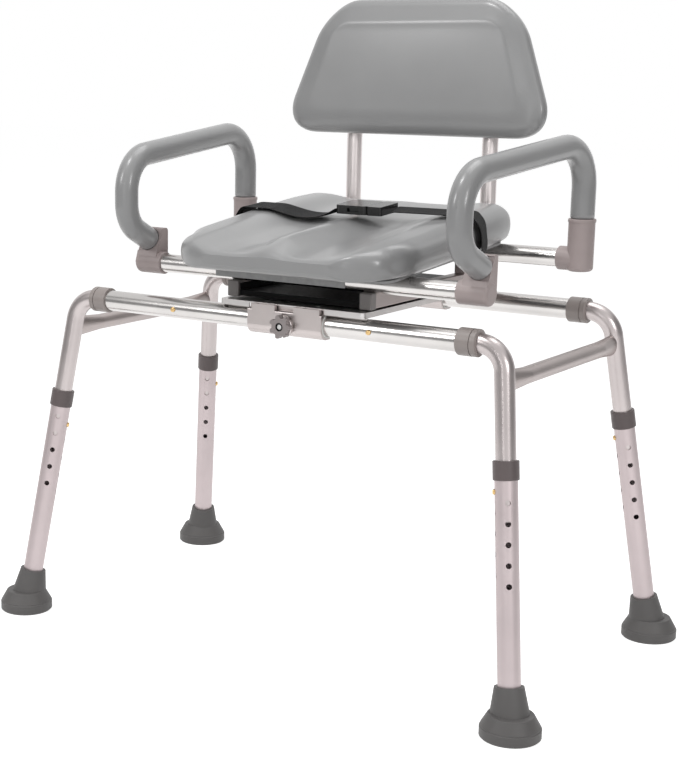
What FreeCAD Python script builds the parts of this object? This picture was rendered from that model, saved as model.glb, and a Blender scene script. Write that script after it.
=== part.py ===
import FreeCAD, Part
import math
import os

# Sliding transfer bench: a four-legged base with two rails, a carriage that slides along them,
# and a swivel seat with swing-away arms, a back pad and a lap belt.
# Millimetres, +Z up, X along the rails, -Y to the front. The origin is on the floor, midway
# between the four feet.

# Driving sizes

# Tubes of the base
LEG_OD = 25.4
LEG_WALL = 1.6
SLIP = 0.1                    # radial clearance of everything that runs on or in a tube
RAIL_WALL = 1.5
RAIL_Z = 468.0
RAIL_Y = 162.0
RAIL_HALF = 300.0
CORNER_X = 336.0              # where rail axis and leg axis cross
SPIGOT_START = 130.0
BEND_RADIUS = 36.0
SPLAY_X = 60.0
SPLAY_Y = 60.0
UPPER_END = 212.0             # lengths along the leg from the crossing
LOWER_TOP = 142.0
ROW_START = 176.0
HOLE_PITCH = 25.4
HOLE_COUNT = 5
FACING_ROW_DEG = 303.0        # compass of the row of holes that faces the viewer
FOOT_FLOOR = 19.0             # rubber under the tube

# Rail end collars
COLLAR_GRIP = 23.0
COLLAR_LIP = 4.0
COLLAR_WALL = 3.2
COLLAR_ROUND = 1.2
COLLAR_GROOVE = 1.0
COLLAR_GROOVE_WIDE = 1.4
COLLAR_RING = 7.0  # plain ring between the groove and the collar's outer end

# Leg collars
BUSH_HEIGHT = 24.0
BUSH_LIP = 4.0
BUSH_WALL = 2.0
BUSH_ROUND = 1.0

# Side braces
BRACE_DROP = 44.0             # along the leg from the crossing
BRACE_OD = 22.2
BRACE_WALL = 1.5
BRACE_END_HALF_TALL = 14.0
BRACE_END_HALF_THICK = 7.5
BRACE_FLARE = 40.0
BRACE_FLAT = 16.0

# Feet
FOOT_R = 38.0
FOOT_RIM = 13.0
FOOT_GROOVE = 1.2
FOOT_BEVEL_R = 28.5
FOOT_BEVEL_Z = 30.0
FOOT_CONE_R = 26.5
FOOT_CONE_START = 18.0
FOOT_TOP_R = 18.5
FOOT_TOP_Z = 61.0
FOOT_ROUND = 2.0
SOLE_GROOVE_RADII = (16.0, 26.0)
SOLE_GROOVE_WIDTH = 3.0
SOLE_GROOVE_DEPTH = 1.5

# Snap clips
BUTTON_R = 3.4
BUTTON_SLACK = 0.2
BUTTON_PROUD = 2.5
BUTTON_DOME = 1.6
CLIP_WIDTH = 8.0
CLIP_THICK = 1.0
CLIP_TAIL = 6.0
CLIP_RUN = 14.0
REST_GAP = 0.3                # gap between things that move apart
RAIL_BUTTON_X = 155.0

# Carriage
SEAT_X = 35.0                 # where carriage and seat stand along the rails
SLIDER_SHIFT = -5.5  # slider and knob stand left of the plate's middle
SLIDER_HALF = 57.5
SLIDER_DEPTH = 18.5
SLIDER_DROP = 18.5
SLIDER_SHOULDER = 15.5
SLIDER_ROUND = 13.0
SLIDER_EDGE = 3.0
LINER_WALL = 2.2
SLOT_NEAR = 4.0
SLOT_WIDE = 9.0
PAD_RISE = 6.5
PAD_SHARES = ((-0.88, -0.25), (0.25, 0.95))
PLATE_Z = 489.0
PLATE_THICK = 2.0
PLATE_HALF_X = 112.0
PLATE_BEYOND_RAIL = 13.0
LIP_DROP = 5.5
PLATE_CORNER = 6.0
NOTCH_SLACK = 1.0
RIVET_R = 2.5
RIVET_HEAD_R = 4.5
RIVET_HEAD_T = 0.8
RIVET_X = 40.0

# Lock knob and clamp pad
KNOB_DROP = 4.0               # knob axis below the rail axis
BOSS_R = 14.0
BOSS_PROUD = 2.5
SCREW_R = 4.0
PAD_R = 7.0
PAD_SEAT_GAP = 0.05
PAD_BACK = 18.3
PAD_TRAVEL = 1.5
KNOB_CORE_R = 12.4
LOBE_COUNT = 7
LOBE_R = 4.1
LOBE_OUT = 11.65
KNOB_THICK = 8.0
KNOB_ROUND = 1.5
KNOB_DISH_R = 5.6
KNOB_DISH = 3.0
KNOB_BOLT_R = 3.6
KNOB_BOLT_H = 2.2

# Turntable
RACE_IN = 62.0
RACE_OUT = 78.0
RACE_MID = 70.0
RACE_GAP = 1.2
BALL_R = 2.5
BALL_COUNT = 16
BALL_SLACK = 0.1
TURN_HEIGHT = 8.0             # from slide plate to tray floor
PIVOT_R = 5.0
PIVOT_HEAD_R = 9.0
PIVOT_HEAD_T = 6.5
PIVOT_NUT_T = 8.0
HEX_SIDES = 6
TRAY_FLOOR = 2.0
TRAY_WALL = 1.5
TRAY_LIP = 5.5
TRAY_RISE = 11.0
TRAY_BACK = 2.0  # tray ends behind the bar ends

# Seat bars
BAR_X = 103.0
BAR_WIDE = 16.0
BAR_TALL = 20.0
BAR_WALL = 1.6
BAR_GAP = 2.0                 # bar over slide plate
BAR_FRONT = 155.0
BAR_REAR = 149.0
BAR_ROUND = 1.6
CAP_SKIN = 0.8
CAP_COVER = 10.0
CAP_FRONT = 2.5
CAP_ROUND = 1.6

# Cross tubes
CROSS_WALL = 1.6
FRONT_TUBE_Y = -142.0
REAR_TUBE_Y = 114.0
REAR_LIFT = 18.3
FRONT_ARM_X = 256.7
REAR_ARM_X = 272.6
TEE_R = 15.5
TEE_IN = 28.0
TEE_OUT = 16.0
TEE_PLUG = 8.0
TEE_ROUND = 5.0

# Arms
ARM_OD = 22.2
ARM_WALL = 1.6
FOAM_R = 16.0
ARM_RISE = 173.3  # heights above the front cross tube
ARM_FRONT_RISE = 145.8
ARM_LOW_RISE = 58.3
ARM_TIP_RISE = 30.6
ARM_FRONT = 312.0  # lengths forward of the hinge
ARM_TIP_SHORT = 55.0  # tip behind the arm's front
ARM_REAR_BEND = 55.0
ARM_FRONT_BEND = 50.0
ARM_LOW_BEND = 42.0
FOAM_END_CAP = 3.0
FOAM_ROUND = 3.0
ELBOW_R = 17.6
ELBOW_SLEEVE_R = 16.0
ELBOW_IN = 29.0
ELBOW_RISE = 54.0  # above and below the rear cross tube
ELBOW_DROP = 16.0
ELBOW_FLOOR = 4.0
ELBOW_LIP = 0.9
ELBOW_LIP_TALL = 4.5
ELBOW_WALL = 3.3
CRADLE_IN = 20.0  # upright of the cradle, inward and outward of the arm
CRADLE_OUT = 14.0
CRADLE_SEAT = 2.0  # depth of the seat for the arm's tip
CRADLE_SLACK = 0.6
CRADLE_UNDER = 1.0
CRADLE_TOP_R = 5.0

# Rear brackets and back posts
BRACKET_OUT = 22.0
BRACKET_FRONT = 16.0
BRACKET_BACK = 18.0
WEB_THICK = 16.0
WEB_TALL = 34.0
POST_X = 110.0
POST_Y = 161.0
POST_OD = 22.2
POST_WALL = 1.6
POST_BEND_Z = 690.0
POST_BEND_R = 90.0
POST_UPPER = 104.0
BACK_LEAN_DEG = 6.0
SOCKET_R = 15.0
SOCKET_TALL = 49.0
SOCKET_FLOOR = 4.0

# Seat pan and cushion, in the plane of the two cross tubes
PAN_THICK = 3.0
PAN_HALF = 160.0
PAN_FRONT = 60.0
PAN_REAR = 268.0
PAN_CORNER = 25.0
PAN_LIP_HALF = 99.0
PAN_LIP_T = 2.0
PAN_LIP_TALL = 9.0
CUSHION_HALF = 172.0
CUSHION_FRONT = 92.0
CUSHION_REAR = 284.0
CUSHION_TALL = 48.0
CUSHION_LOW_R = 8.0
CUSHION_SIDE_R = 16.0
CUSHION_RIM_R = 14.0
CUSHION_CHANNEL_R = 60.0
CUSHION_RIDGE_R = 30.0
FLOOR_SHARE = 0.96  # of the half width, at the underside, the rim and the channel
RIM_SHARE = 0.94
CHANNEL_SHARE = 0.36
SIDE_SHARE = 0.45  # of the way up the side, where it is widest
# station along the depth, half width, underside, rim, channel, ridge: all shares
CUSHION_SHARES = (
    (0.000, 0.78, 0.22, 0.54, 0.48, 0.54),
    (0.018, 0.86, 0.06, 0.68, 0.56, 0.68),
    (0.060, 0.92, 0.00, 0.77, 0.60, 0.80),
    (0.150, 0.95, 0.00, 0.82, 0.62, 0.90),
    (0.350, 0.975, 0.00, 0.90, 0.68, 0.92),
    (0.580, 0.995, 0.00, 1.00, 0.80, 0.92),
    (0.800, 1.010, 0.00, 1.07, 0.90, 0.94),
    (0.930, 1.010, 0.01, 1.07, 0.94, 0.96),
    (0.980, 0.960, 0.10, 0.90, 0.82, 0.84),
    (1.000, 0.880, 0.28, 0.64, 0.60, 0.62),
)

# Back pad and board
PAD_THICK = 26.0
BOARD_THICK = 6.0
BACK_LOW = 7.0
BACK_HIGH = 195.0
BACK_LOW_HALF = 212.0
BACK_TOP_HALF = 142.0
BACK_LOW_R = 49.0
BACK_TOP_R = 61.0
BOARD_INSET = 10.0
# depth share and inset share of the pad's thickness
PAD_INSET_SHARES = ((0.0, 0.16), (0.20, 0.0), (0.50, 0.02), (0.70, 0.16), (0.82, 0.48), (0.92, 0.95),
                    (1.0, 1.35))

# Lap belt and buckle
STRAP_WIDE = 50.0
STRAP_THICK = 1.6
STRAP_BEND = 7.0
STRAP_V = 126.0
STRAP_OFF = 6.0  # strap runs down beside the cushion
BELT_SHARE = 1.07
STRAP_TUCK = 38.0
STRAP_OVER = 3.0
BUCKLE_START = -14.0
BUCKLE_BODY = 49.0
BUCKLE_TALL = 12.0
BUCKLE_HALF = 24.0
BUCKLE_WALL = 3.0
BUCKLE_BAR = 16.0
BUCKLE_ROUND = 3.0
SOCKET_ROUND = 6.0
TONGUE_OUT = 22.0
PRONG_WIDE = 6.0
PRONG_INSET = 4.0
PRONG_TALL = 5.4
WINDOW_LONG = 18.0
WINDOW_TALL = 5.0
RIGHT_STRAP_DEG = 30.0
RIGHT_STRAP_RUN = 158.0

OVER = 5.0                    # overrun of cutting tools
TINY = 0.001

# Derived sizes
LEG_R = LEG_OD / 2
SLIDER_X = SEAT_X + SLIDER_SHIFT
PLATE_HALF_Y = RAIL_Y + PLATE_BEYOND_RAIL
LEG_BORE_R = LEG_R - LEG_WALL
RAIL_BORE_R = LEG_R + SLIP
RAIL_R = RAIL_BORE_R + RAIL_WALL
HOLE_R = BUTTON_R + BUTTON_SLACK
PLATE_TOP = PLATE_Z + PLATE_THICK
BAR_BASE = PLATE_TOP + BAR_GAP
BAR_TOP = BAR_BASE + BAR_TALL
TRAY_Z = PLATE_TOP + TURN_HEIGHT
TRAY_FRONT = BAR_FRONT - TRAY_BACK
TRAY_REAR = BAR_REAR - TRAY_BACK
CROSS_R = LEG_R
FRONT_TUBE_Z = BAR_TOP + CROSS_R
REAR_TUBE_Z = FRONT_TUBE_Z + REAR_LIFT
ELBOW_BASE = REAR_TUBE_Z - ELBOW_DROP
ELBOW_TOP = REAR_TUBE_Z + ELBOW_RISE
ARM_TOP = FRONT_TUBE_Z + ARM_RISE
ARM_FRONT_TOP = FRONT_TUBE_Z + ARM_FRONT_RISE
ARM_FRONT_LOW = FRONT_TUBE_Z + ARM_LOW_RISE
ARM_TIP = ARM_FRONT - ARM_TIP_SHORT
ARM_TIP_Z = FRONT_TUBE_Z + ARM_TIP_RISE
ARM_R = ARM_OD / 2
POST_R = POST_OD / 2
LINER_IN = RAIL_R + SLIP
LINER_OUT = LINER_IN + LINER_WALL
KNOB_Z = RAIL_Z - KNOB_DROP
SEAT_TILT = math.atan2(REAR_TUBE_Z - FRONT_TUBE_Z, REAR_TUBE_Y - FRONT_TUBE_Y)
PAN_TOP = CROSS_R + PAN_THICK
TOE_IN = math.atan2(REAR_ARM_X - FRONT_ARM_X, REAR_TUBE_Y - FRONT_TUBE_Y)
SIDES = {"l": -1, "r": 1}
ENDS = {"f": -1, "r": 1}
UP = FreeCAD.Vector(0, 0, 1)
ALONG_X = FreeCAD.Vector(1, 0, 0)
ALONG_Y = FreeCAD.Vector(0, 1, 0)


# Shape helpers
def vec(x, y, z):
    return FreeCAD.Vector(x, y, z)


def fused(shapes):
    whole = shapes[0]
    for other in shapes[1:]:
        whole = whole.fuse(other)
    return whole.removeSplitter()


def rod(start, end, radius):
    run = end - start
    return Part.makeCylinder(radius, run.Length, start, run)


def tube(start, end, outer, inner):
    return rod(start, end, outer).cut(rod(start, end, inner))


def block(x0, x1, y0, y1, z0, z1):
    return Part.makeBox(x1 - x0, y1 - y0, z1 - z0, vec(x0, y0, z0))


def bend_at(before_point, corner, after_point, radius):
    """First, middle and last point of the arc that rounds a corner."""
    before = (before_point - corner).normalize()
    after = (after_point - corner).normalize()
    half = before.getAngle(after) / 2
    reach = radius / math.tan(half)
    bisector = (before + after).normalize()
    middle = corner + bisector * (radius / math.sin(half) - radius)
    return corner + before * reach, middle, corner + after * reach


def bent_path(points, radii):
    """Open wire of straight runs joined by tangent arcs."""
    edges = []
    start = points[0]
    for i, radius in enumerate(radii, 1):
        first, middle, last = bend_at(points[i - 1], points[i], points[i + 1], radius)
        edges.append(Part.LineSegment(start, first).toShape())
        edges.append(Part.Arc(first, middle, last).toShape())
        start = last
    edges.append(Part.LineSegment(start, points[-1]).toShape())
    return Part.Wire(edges)


def outline(corners, radii=None):
    """Closed wire through corners, each rounded by its radius, or sharp where that is zero."""
    count = len(corners)
    if radii is None:
        radii = [0] * count
    marks = []
    for i, corner in enumerate(corners):
        if radii[i] > 0:
            marks.append(bend_at(corners[i - 1], corner, corners[(i + 1) % count], radii[i]))
        else:
            marks.append((corner, None, corner))
    edges = []
    for i, (first, middle, last) in enumerate(marks):
        if middle is not None:
            edges.append(Part.Arc(first, middle, last).toShape())
        following = marks[(i + 1) % count][0]
        if (following - last).Length > TINY:
            edges.append(Part.LineSegment(last, following).toShape())
    return Part.Wire(edges)


def swept(points, radii, radius):
    """Solid bar of round section along a bent path."""
    ring = Part.Wire(Part.Circle(points[0], points[1] - points[0], radius).toShape())
    return bent_path(points, radii).makePipeShell([ring], True, False)


def swept_tube(points, radii, outer, inner):
    return swept(points, radii, outer).cut(swept(points, radii, inner))


def evenly(corners, radius):
    """Closed wire through corners, all rounded alike."""
    return outline(corners, [radius] * len(corners))


def turned(corners, radii, base, axis):
    """Solid of revolution of an outline."""
    return Part.Face(outline(corners, radii)).revolve(base, axis, 360)


def placed(shape, origin, x_axis, z_axis):
    """Copy of a shape modelled at the origin, turned so its X and Z lie on the given axes."""
    z_dir = vec(z_axis.x, z_axis.y, z_axis.z).normalize()
    x_dir = (x_axis - z_dir * x_axis.dot(z_dir)).normalize()
    y_dir = z_dir.cross(x_dir)
    matrix = FreeCAD.Matrix(
        x_dir.x, y_dir.x, z_dir.x, origin.x,
        x_dir.y, y_dir.y, z_dir.y, origin.y,
        x_dir.z, y_dir.z, z_dir.z, origin.z,
        0, 0, 0, 1)
    moved = shape.copy()
    moved.Placement = FreeCAD.Placement(matrix).multiply(shape.Placement)
    return moved


def mirrored(shape):
    """Copy on the other side of the seat's middle plane."""
    return shape.mirror(vec(SEAT_X, 0, 0), ALONG_X)


def both(shape):
    return Part.makeCompound([mirrored(shape), shape])


# Base frame
def crossing(sx, sy):
    return vec(sx * CORNER_X, sy * RAIL_Y, RAIL_Z)


def leg_run(sx, sy):
    """Unit direction of a leg, downwards, and its length to the floor."""
    run = vec(sx * SPLAY_X, sy * SPLAY_Y, -RAIL_Z)
    length = run.Length
    return run.normalize(), length


def on_leg(sx, sy, distance):
    down, length = leg_run(sx, sy)
    return crossing(sx, sy) + down * distance


def across_leg(sx, sy, compass_deg):
    """Direction square to the leg that lies on a compass bearing."""
    down, length = leg_run(sx, sy)
    angle = math.radians(compass_deg)
    flat = vec(math.cos(angle), math.sin(angle), 0)
    return (flat - down * flat.dot(down)).normalize()


def button_row(sx):
    """Bearing and first hole of the row that holds the snap button, then of the other row."""
    early = (FACING_ROW_DEG, ROW_START)
    late = (FACING_ROW_DEG, ROW_START + HOLE_PITCH / 2)
    if sx < 0:
        return (FACING_ROW_DEG + 90, ROW_START + HOLE_PITCH / 2), early
    return (FACING_ROW_DEG - 90, ROW_START), late


def radial_hole(sx, sy, compass_deg, distance):
    middle = on_leg(sx, sy, distance)
    return rod(middle, middle + across_leg(sx, sy, compass_deg) * (RAIL_R + OVER), HOLE_R)


def rail(sy):
    body = tube(vec(-RAIL_HALF, sy * RAIL_Y, RAIL_Z), vec(RAIL_HALF, sy * RAIL_Y, RAIL_Z),
                RAIL_R, RAIL_BORE_R)
    for sx in (-1, 1):
        middle = vec(sx * RAIL_BUTTON_X, sy * RAIL_Y, RAIL_Z)
        body = body.cut(rod(middle, middle + ALONG_Y * (sy * (RAIL_R + OVER)), HOLE_R))
    return body


def leg_bend(sx, sy):
    points = [vec(sx * SPIGOT_START, sy * RAIL_Y, RAIL_Z), crossing(sx, sy), on_leg(sx, sy, UPPER_END)]
    body = swept_tube(points, [BEND_RADIUS], LEG_R, LEG_BORE_R)
    middle = vec(sx * RAIL_BUTTON_X, sy * RAIL_Y, RAIL_Z)
    body = body.cut(rod(middle, middle + ALONG_Y * (sy * (RAIL_R + OVER)), HOLE_R))
    bearing, distance = button_row(sx)[0]
    return body.cut(radial_hole(sx, sy, bearing, distance))


def lower_leg_tube(sx, sy):
    length = leg_run(sx, sy)[1]
    body = tube(on_leg(sx, sy, LOWER_TOP), on_leg(sx, sy, length - FOOT_FLOOR), RAIL_R, RAIL_BORE_R)
    for bearing, start in button_row(sx):
        for k in range(HOLE_COUNT):
            body = body.cut(radial_hole(sx, sy, bearing, start + HOLE_PITCH * k))
    return body


def ring_profile(bore, lip_bore, outer, grip, lip, rounding):
    """Collar turned about Z: the grip below zero on one tube, the lip above zero on the next."""
    corners = [vec(bore, 0, -grip), vec(outer, 0, -grip), vec(outer, 0, lip),
               vec(lip_bore, 0, lip), vec(lip_bore, 0, 0), vec(bore, 0, 0)]
    return turned(corners, [0, rounding, rounding, 0, 0, 0], vec(0, 0, 0), UP)


def rail_end_collar(sx, sy):
    outer = RAIL_R + COLLAR_WALL
    ring = ring_profile(RAIL_R, LEG_R, outer, COLLAR_GRIP, COLLAR_LIP, COLLAR_ROUND)
    top = COLLAR_LIP - COLLAR_RING
    low = top - COLLAR_GROOVE_WIDE
    corners = [vec(outer - COLLAR_GROOVE, 0, low), vec(outer + OVER, 0, low), vec(outer + OVER, 0, top),
               vec(outer - COLLAR_GROOVE, 0, top)]
    ring = ring.cut(turned(corners, [0, 0, 0, 0], vec(0, 0, 0), UP))
    return placed(ring, vec(sx * RAIL_HALF, sy * RAIL_Y, RAIL_Z), ALONG_Y, ALONG_X * sx)


def leg_collar(sx, sy):
    ring = ring_profile(RAIL_R, LEG_R + SLIP, RAIL_R + BUSH_WALL, BUSH_HEIGHT - BUSH_LIP, BUSH_LIP,
                        BUSH_ROUND)
    down = leg_run(sx, sy)[0]
    return placed(ring, on_leg(sx, sy, LOWER_TOP), ALONG_X, down * -1)


def flared(outer_grow):
    """Half of a brace along Z: round, then flattened towards its end."""
    end = RAIL_Y + SPLAY_Y * BRACE_DROP / math.hypot(math.hypot(SPLAY_X, SPLAY_Y), RAIL_Z)
    flat_start = end - BRACE_FLAT
    round_end = flat_start - BRACE_FLARE
    radius = BRACE_OD / 2 - outer_grow
    tall = BRACE_END_HALF_TALL - outer_grow
    thick = BRACE_END_HALF_THICK - outer_grow
    round_ring = Part.Wire(Part.Circle(vec(0, 0, round_end), UP, radius).toShape())
    oval = Part.Ellipse(vec(0, 0, flat_start), tall, thick).toShape()
    flare = Part.makeLoft([round_ring, Part.Wire(oval)], True, True)
    flat = Part.Face(Part.Wire(oval)).extrude(vec(0, 0, BRACE_FLAT))
    return fused([Part.makeCylinder(radius, round_end), flare, flat])


def side_brace(sx):
    half = flared(0).cut(flared(BRACE_WALL))
    middle = vec(on_leg(sx, 1, BRACE_DROP).x, 0, on_leg(sx, 1, BRACE_DROP).z)
    whole = fused([placed(half, middle, UP, ALONG_Y * sy) for sy in (-1, 1)])
    for sy in (-1, 1):
        whole = whole.cut(rod(crossing(sx, sy), on_leg(sx, sy, LOWER_TOP), LEG_R))
    return whole


def foot(sx, sy):
    length = leg_run(sx, sy)[1]
    bottom = on_leg(sx, sy, length)
    corners = [vec(0, 0, 0), vec(FOOT_R - FOOT_ROUND, 0, 0), vec(FOOT_R, 0, FOOT_ROUND),
               vec(FOOT_R, 0, FOOT_RIM), vec(FOOT_R - FOOT_GROOVE, 0, FOOT_RIM + FOOT_GROOVE),
               vec(FOOT_R - FOOT_GROOVE, 0, FOOT_RIM + FOOT_GROOVE * 2),
               vec(FOOT_BEVEL_R, 0, FOOT_BEVEL_Z), vec(0, 0, FOOT_BEVEL_Z)]
    base = turned(corners, [0, 0, 0, 0, 0, 0, FOOT_ROUND, 0], vec(0, 0, 0), UP)
    base.translate(bottom)
    scale = length / RAIL_Z
    low = on_leg(sx, sy, length - FOOT_CONE_START * scale)
    high = on_leg(sx, sy, length - FOOT_TOP_Z * scale)
    cone = Part.makeCone(FOOT_CONE_R, FOOT_TOP_R, (high - low).Length, low, high - low)
    body = fused([base, cone])
    body = body.cut(rod(on_leg(sx, sy, length - FOOT_FLOOR), on_leg(sx, sy, LOWER_TOP), RAIL_R))
    for radius in SOLE_GROOVE_RADII:
        ring = turned([vec(radius, 0, -OVER), vec(radius + SOLE_GROOVE_WIDTH, 0, -OVER),
                       vec(radius + SOLE_GROOVE_WIDTH, 0, SOLE_GROOVE_DEPTH),
                       vec(radius, 0, SOLE_GROOVE_DEPTH)], [0, 0, 0, 0], vec(0, 0, 0), UP)
        ring.translate(bottom)
        body = body.cut(ring)
    return body


def snap_clip():
    """Spring clip along X with its button along Z, both measured from the tube's axis."""
    half = CLIP_WIDTH / 2
    reach = math.sqrt(LEG_BORE_R ** 2 - half ** 2) - REST_GAP
    inner = reach - CLIP_THICK
    turn = vec(CLIP_RUN, -half, 0)
    leaf = fused([block(-CLIP_TAIL, CLIP_RUN, -half, half, -reach, reach),
                  Part.makeCylinder(reach, CLIP_WIDTH, turn, ALONG_Y)])
    hollow = fused([block(-CLIP_TAIL - OVER, CLIP_RUN, -half, half, -inner, inner),
                    Part.makeCylinder(inner, CLIP_WIDTH, turn, ALONG_Y)])
    top = RAIL_R + BUTTON_PROUD
    pin = turned([vec(0, 0, inner), vec(BUTTON_R, 0, inner), vec(BUTTON_R, 0, top), vec(0, 0, top)],
                 [0, 0, BUTTON_DOME, 0], vec(0, 0, 0), UP)
    return fused([leaf.cut(hollow), pin])


def rail_clip(sx, sy):
    middle = vec(sx * RAIL_BUTTON_X, sy * RAIL_Y, RAIL_Z)
    return placed(snap_clip(), middle, ALONG_X * sx, ALONG_Y * sy)


def leg_clip(sx, sy):
    bearing, distance = button_row(sx)[0]
    up_leg = leg_run(sx, sy)[0] * -1
    return placed(snap_clip(), on_leg(sx, sy, distance), up_leg, across_leg(sx, sy, bearing))


# Carriage
def slider_slot(y, reach):
    """Cutter that opens a slider or liner along its underside, towards the middle."""
    return block(SLIDER_X - SLIDER_HALF - OVER, SLIDER_X + SLIDER_HALF + OVER,
                 y + SLOT_NEAR, y + SLOT_NEAR + SLOT_WIDE, RAIL_Z - SLIDER_DROP - OVER, RAIL_Z - reach)


def slider_body():
    """Slider of the front rail, without its boss."""
    y = -RAIL_Y
    lip_y = -PLATE_HALF_Y + PLATE_THICK
    corners = [(y - SLIDER_DEPTH, RAIL_Z - SLIDER_DROP), (y + SLIDER_DEPTH, RAIL_Z - SLIDER_DROP),
               (y + SLIDER_DEPTH, PLATE_Z), (lip_y, PLATE_Z), (lip_y, RAIL_Z + SLIDER_SHOULDER),
               (y - SLIDER_DEPTH, RAIL_Z + SLIDER_SHOULDER)]
    left = SLIDER_X - SLIDER_HALF
    wire = outline([vec(left, a, b) for a, b in corners],
                   [SLIDER_ROUND, SLIDER_ROUND, SLIDER_EDGE, 0, 0, SLIDER_EDGE])
    return Part.Face(wire).extrude(ALONG_X * (SLIDER_HALF * 2))


def bored(body):
    axis = vec(SLIDER_X - SLIDER_HALF - OVER, -RAIL_Y, RAIL_Z)
    body = body.cut(rod(axis, axis + ALONG_X * (SLIDER_HALF * 2 + OVER * 2), LINER_OUT))
    body = body.cut(slider_slot(-RAIL_Y, SLOT_NEAR))
    for x in (SLIDER_X - RIVET_X, SLIDER_X + RIVET_X):
        body = body.cut(rivet(x, -RAIL_Y + RIVET_HEAD_R))
    return body


def rivet(x, y):
    low = vec(x, y, RAIL_Z + math.sqrt(LINER_OUT ** 2 - (RIVET_HEAD_R - RIVET_R) ** 2) + REST_GAP)
    top = vec(x, y, PLATE_TOP)
    shank = rod(low, top, RIVET_R)
    head = turned([vec(0, 0, 0), vec(RIVET_HEAD_R, 0, 0), vec(RIVET_R, 0, RIVET_HEAD_T),
                   vec(0, 0, RIVET_HEAD_T)], [0, 0, 0, 0], vec(0, 0, 0), UP)
    head.translate(top)
    return fused([shank, head])


def knob_axis(y):
    return vec(SLIDER_X, y, KNOB_Z)


def front_slider():
    face = -RAIL_Y - SLIDER_DEPTH
    body = slider_body()
    pads = []
    for start, end in PAD_SHARES:
        pad = block(SLIDER_X + SLIDER_HALF * start, SLIDER_X + SLIDER_HALF * end,
                    face, -PLATE_HALF_Y - REST_GAP,
                    RAIL_Z + SLIDER_SHOULDER - SLIDER_EDGE, RAIL_Z + SLIDER_SHOULDER + PAD_RISE)
        pads.append(pad)
    boss = turned([vec(0, 0, 0), vec(BOSS_R, 0, 0), vec(BOSS_R, 0, SLIDER_DEPTH + BOSS_PROUD),
                   vec(0, 0, SLIDER_DEPTH + BOSS_PROUD)], [0, 0, KNOB_ROUND, 0], vec(0, 0, 0), UP)
    boss = placed(boss, knob_axis(-RAIL_Y), ALONG_X, ALONG_Y * -1)
    body = bored(fused([body] + pads + [boss]))
    pocket_end = -RAIL_Y - PAD_BACK - PAD_TRAVEL - REST_GAP
    body = body.cut(rod(knob_axis(-RAIL_Y), knob_axis(pocket_end), PAD_R + REST_GAP))
    return body.cut(rod(knob_axis(-RAIL_Y), knob_axis(face - BOSS_PROUD - OVER), SCREW_R + SLIP))


def rear_slider():
    return bored(slider_body()).mirror(vec(0, 0, 0), ALONG_Y)


def liner():
    left = vec(SLIDER_X - SLIDER_HALF, -RAIL_Y, RAIL_Z)
    right = vec(SLIDER_X + SLIDER_HALF, -RAIL_Y, RAIL_Z)
    return tube(left, right, LINER_OUT, LINER_IN).cut(slider_slot(-RAIL_Y, SLOT_NEAR))


def slider_liners():
    window = rod(knob_axis(-RAIL_Y), knob_axis(-RAIL_Y - SLIDER_DEPTH), PAD_R + REST_GAP)
    return Part.makeCompound([liner().cut(window), liner().mirror(vec(0, 0, 0), ALONG_Y)])


def slide_plate():
    x0 = SEAT_X - PLATE_HALF_X
    x1 = SEAT_X + PLATE_HALF_X
    y = PLATE_HALF_Y
    low = PLATE_Z - LIP_DROP
    corners = [vec(x0, -y, low), vec(x1, -y, low), vec(x1, y, low), vec(x0, y, low)]
    outer = Part.Face(evenly(corners, PLATE_CORNER)).extrude(UP * (PLATE_TOP - low))
    t = PLATE_THICK
    corners = [vec(x0 + t, t - y, low), vec(x1 - t, t - y, low), vec(x1 - t, y - t, low),
               vec(x0 + t, y - t, low)]
    inner = Part.Face(evenly(corners, PLATE_CORNER - t)).extrude(UP * (PLATE_Z - low))
    body = outer.cut(inner)
    notch = SLIDER_HALF + NOTCH_SLACK
    for sy in (-1, 1):
        edge = sy * (y - t)
        ends = sorted([edge, sy * (y + OVER)])
        body = body.cut(block(SLIDER_X - notch, SLIDER_X + notch, ends[0], ends[1], low - OVER, PLATE_Z))
    body = body.cut(rod(vec(SEAT_X, 0, low), vec(SEAT_X, 0, PLATE_TOP + OVER), PIVOT_R))
    for one in rivet_places():
        body = body.cut(rivet(one[0], one[1]))
    return body


def rivet_places():
    y = RAIL_Y - RIVET_HEAD_R
    return [(SLIDER_X + sx * RIVET_X, sy * y) for sx in (-1, 1) for sy in (-1, 1)]


def carriage_fasteners():
    return Part.makeCompound([rivet(x, y) for x, y in rivet_places()])


def race(base, top):
    """Ring between two heights, grooved for the balls."""
    corners = [vec(RACE_IN, 0, base), vec(RACE_OUT, 0, base), vec(RACE_OUT, 0, top), vec(RACE_IN, 0, top)]
    ring = turned(corners, [0, 0, 0, 0], vec(0, 0, 0), UP)
    ring.translate(vec(SEAT_X, 0, 0))
    groove = Part.makeTorus(RACE_MID, BALL_R + BALL_SLACK, vec(SEAT_X, 0, PLATE_TOP + TURN_HEIGHT / 2))
    return ring.cut(groove)


def turntable_balls():
    balls = []
    for k in range(BALL_COUNT):
        angle = 2 * math.pi * k / BALL_COUNT
        centre = vec(SEAT_X + RACE_MID * math.cos(angle), RACE_MID * math.sin(angle),
                     PLATE_TOP + TURN_HEIGHT / 2)
        balls.append(Part.makeSphere(BALL_R, centre))
    return Part.makeCompound(balls)


def hexagon(radius, base, height, centre_x):
    corners = []
    for k in range(HEX_SIDES):
        angle = 2 * math.pi * k / HEX_SIDES
        corners.append(vec(centre_x + radius * math.cos(angle), radius * math.sin(angle), base))
    return Part.Face(outline(corners)).extrude(UP * height)


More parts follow.
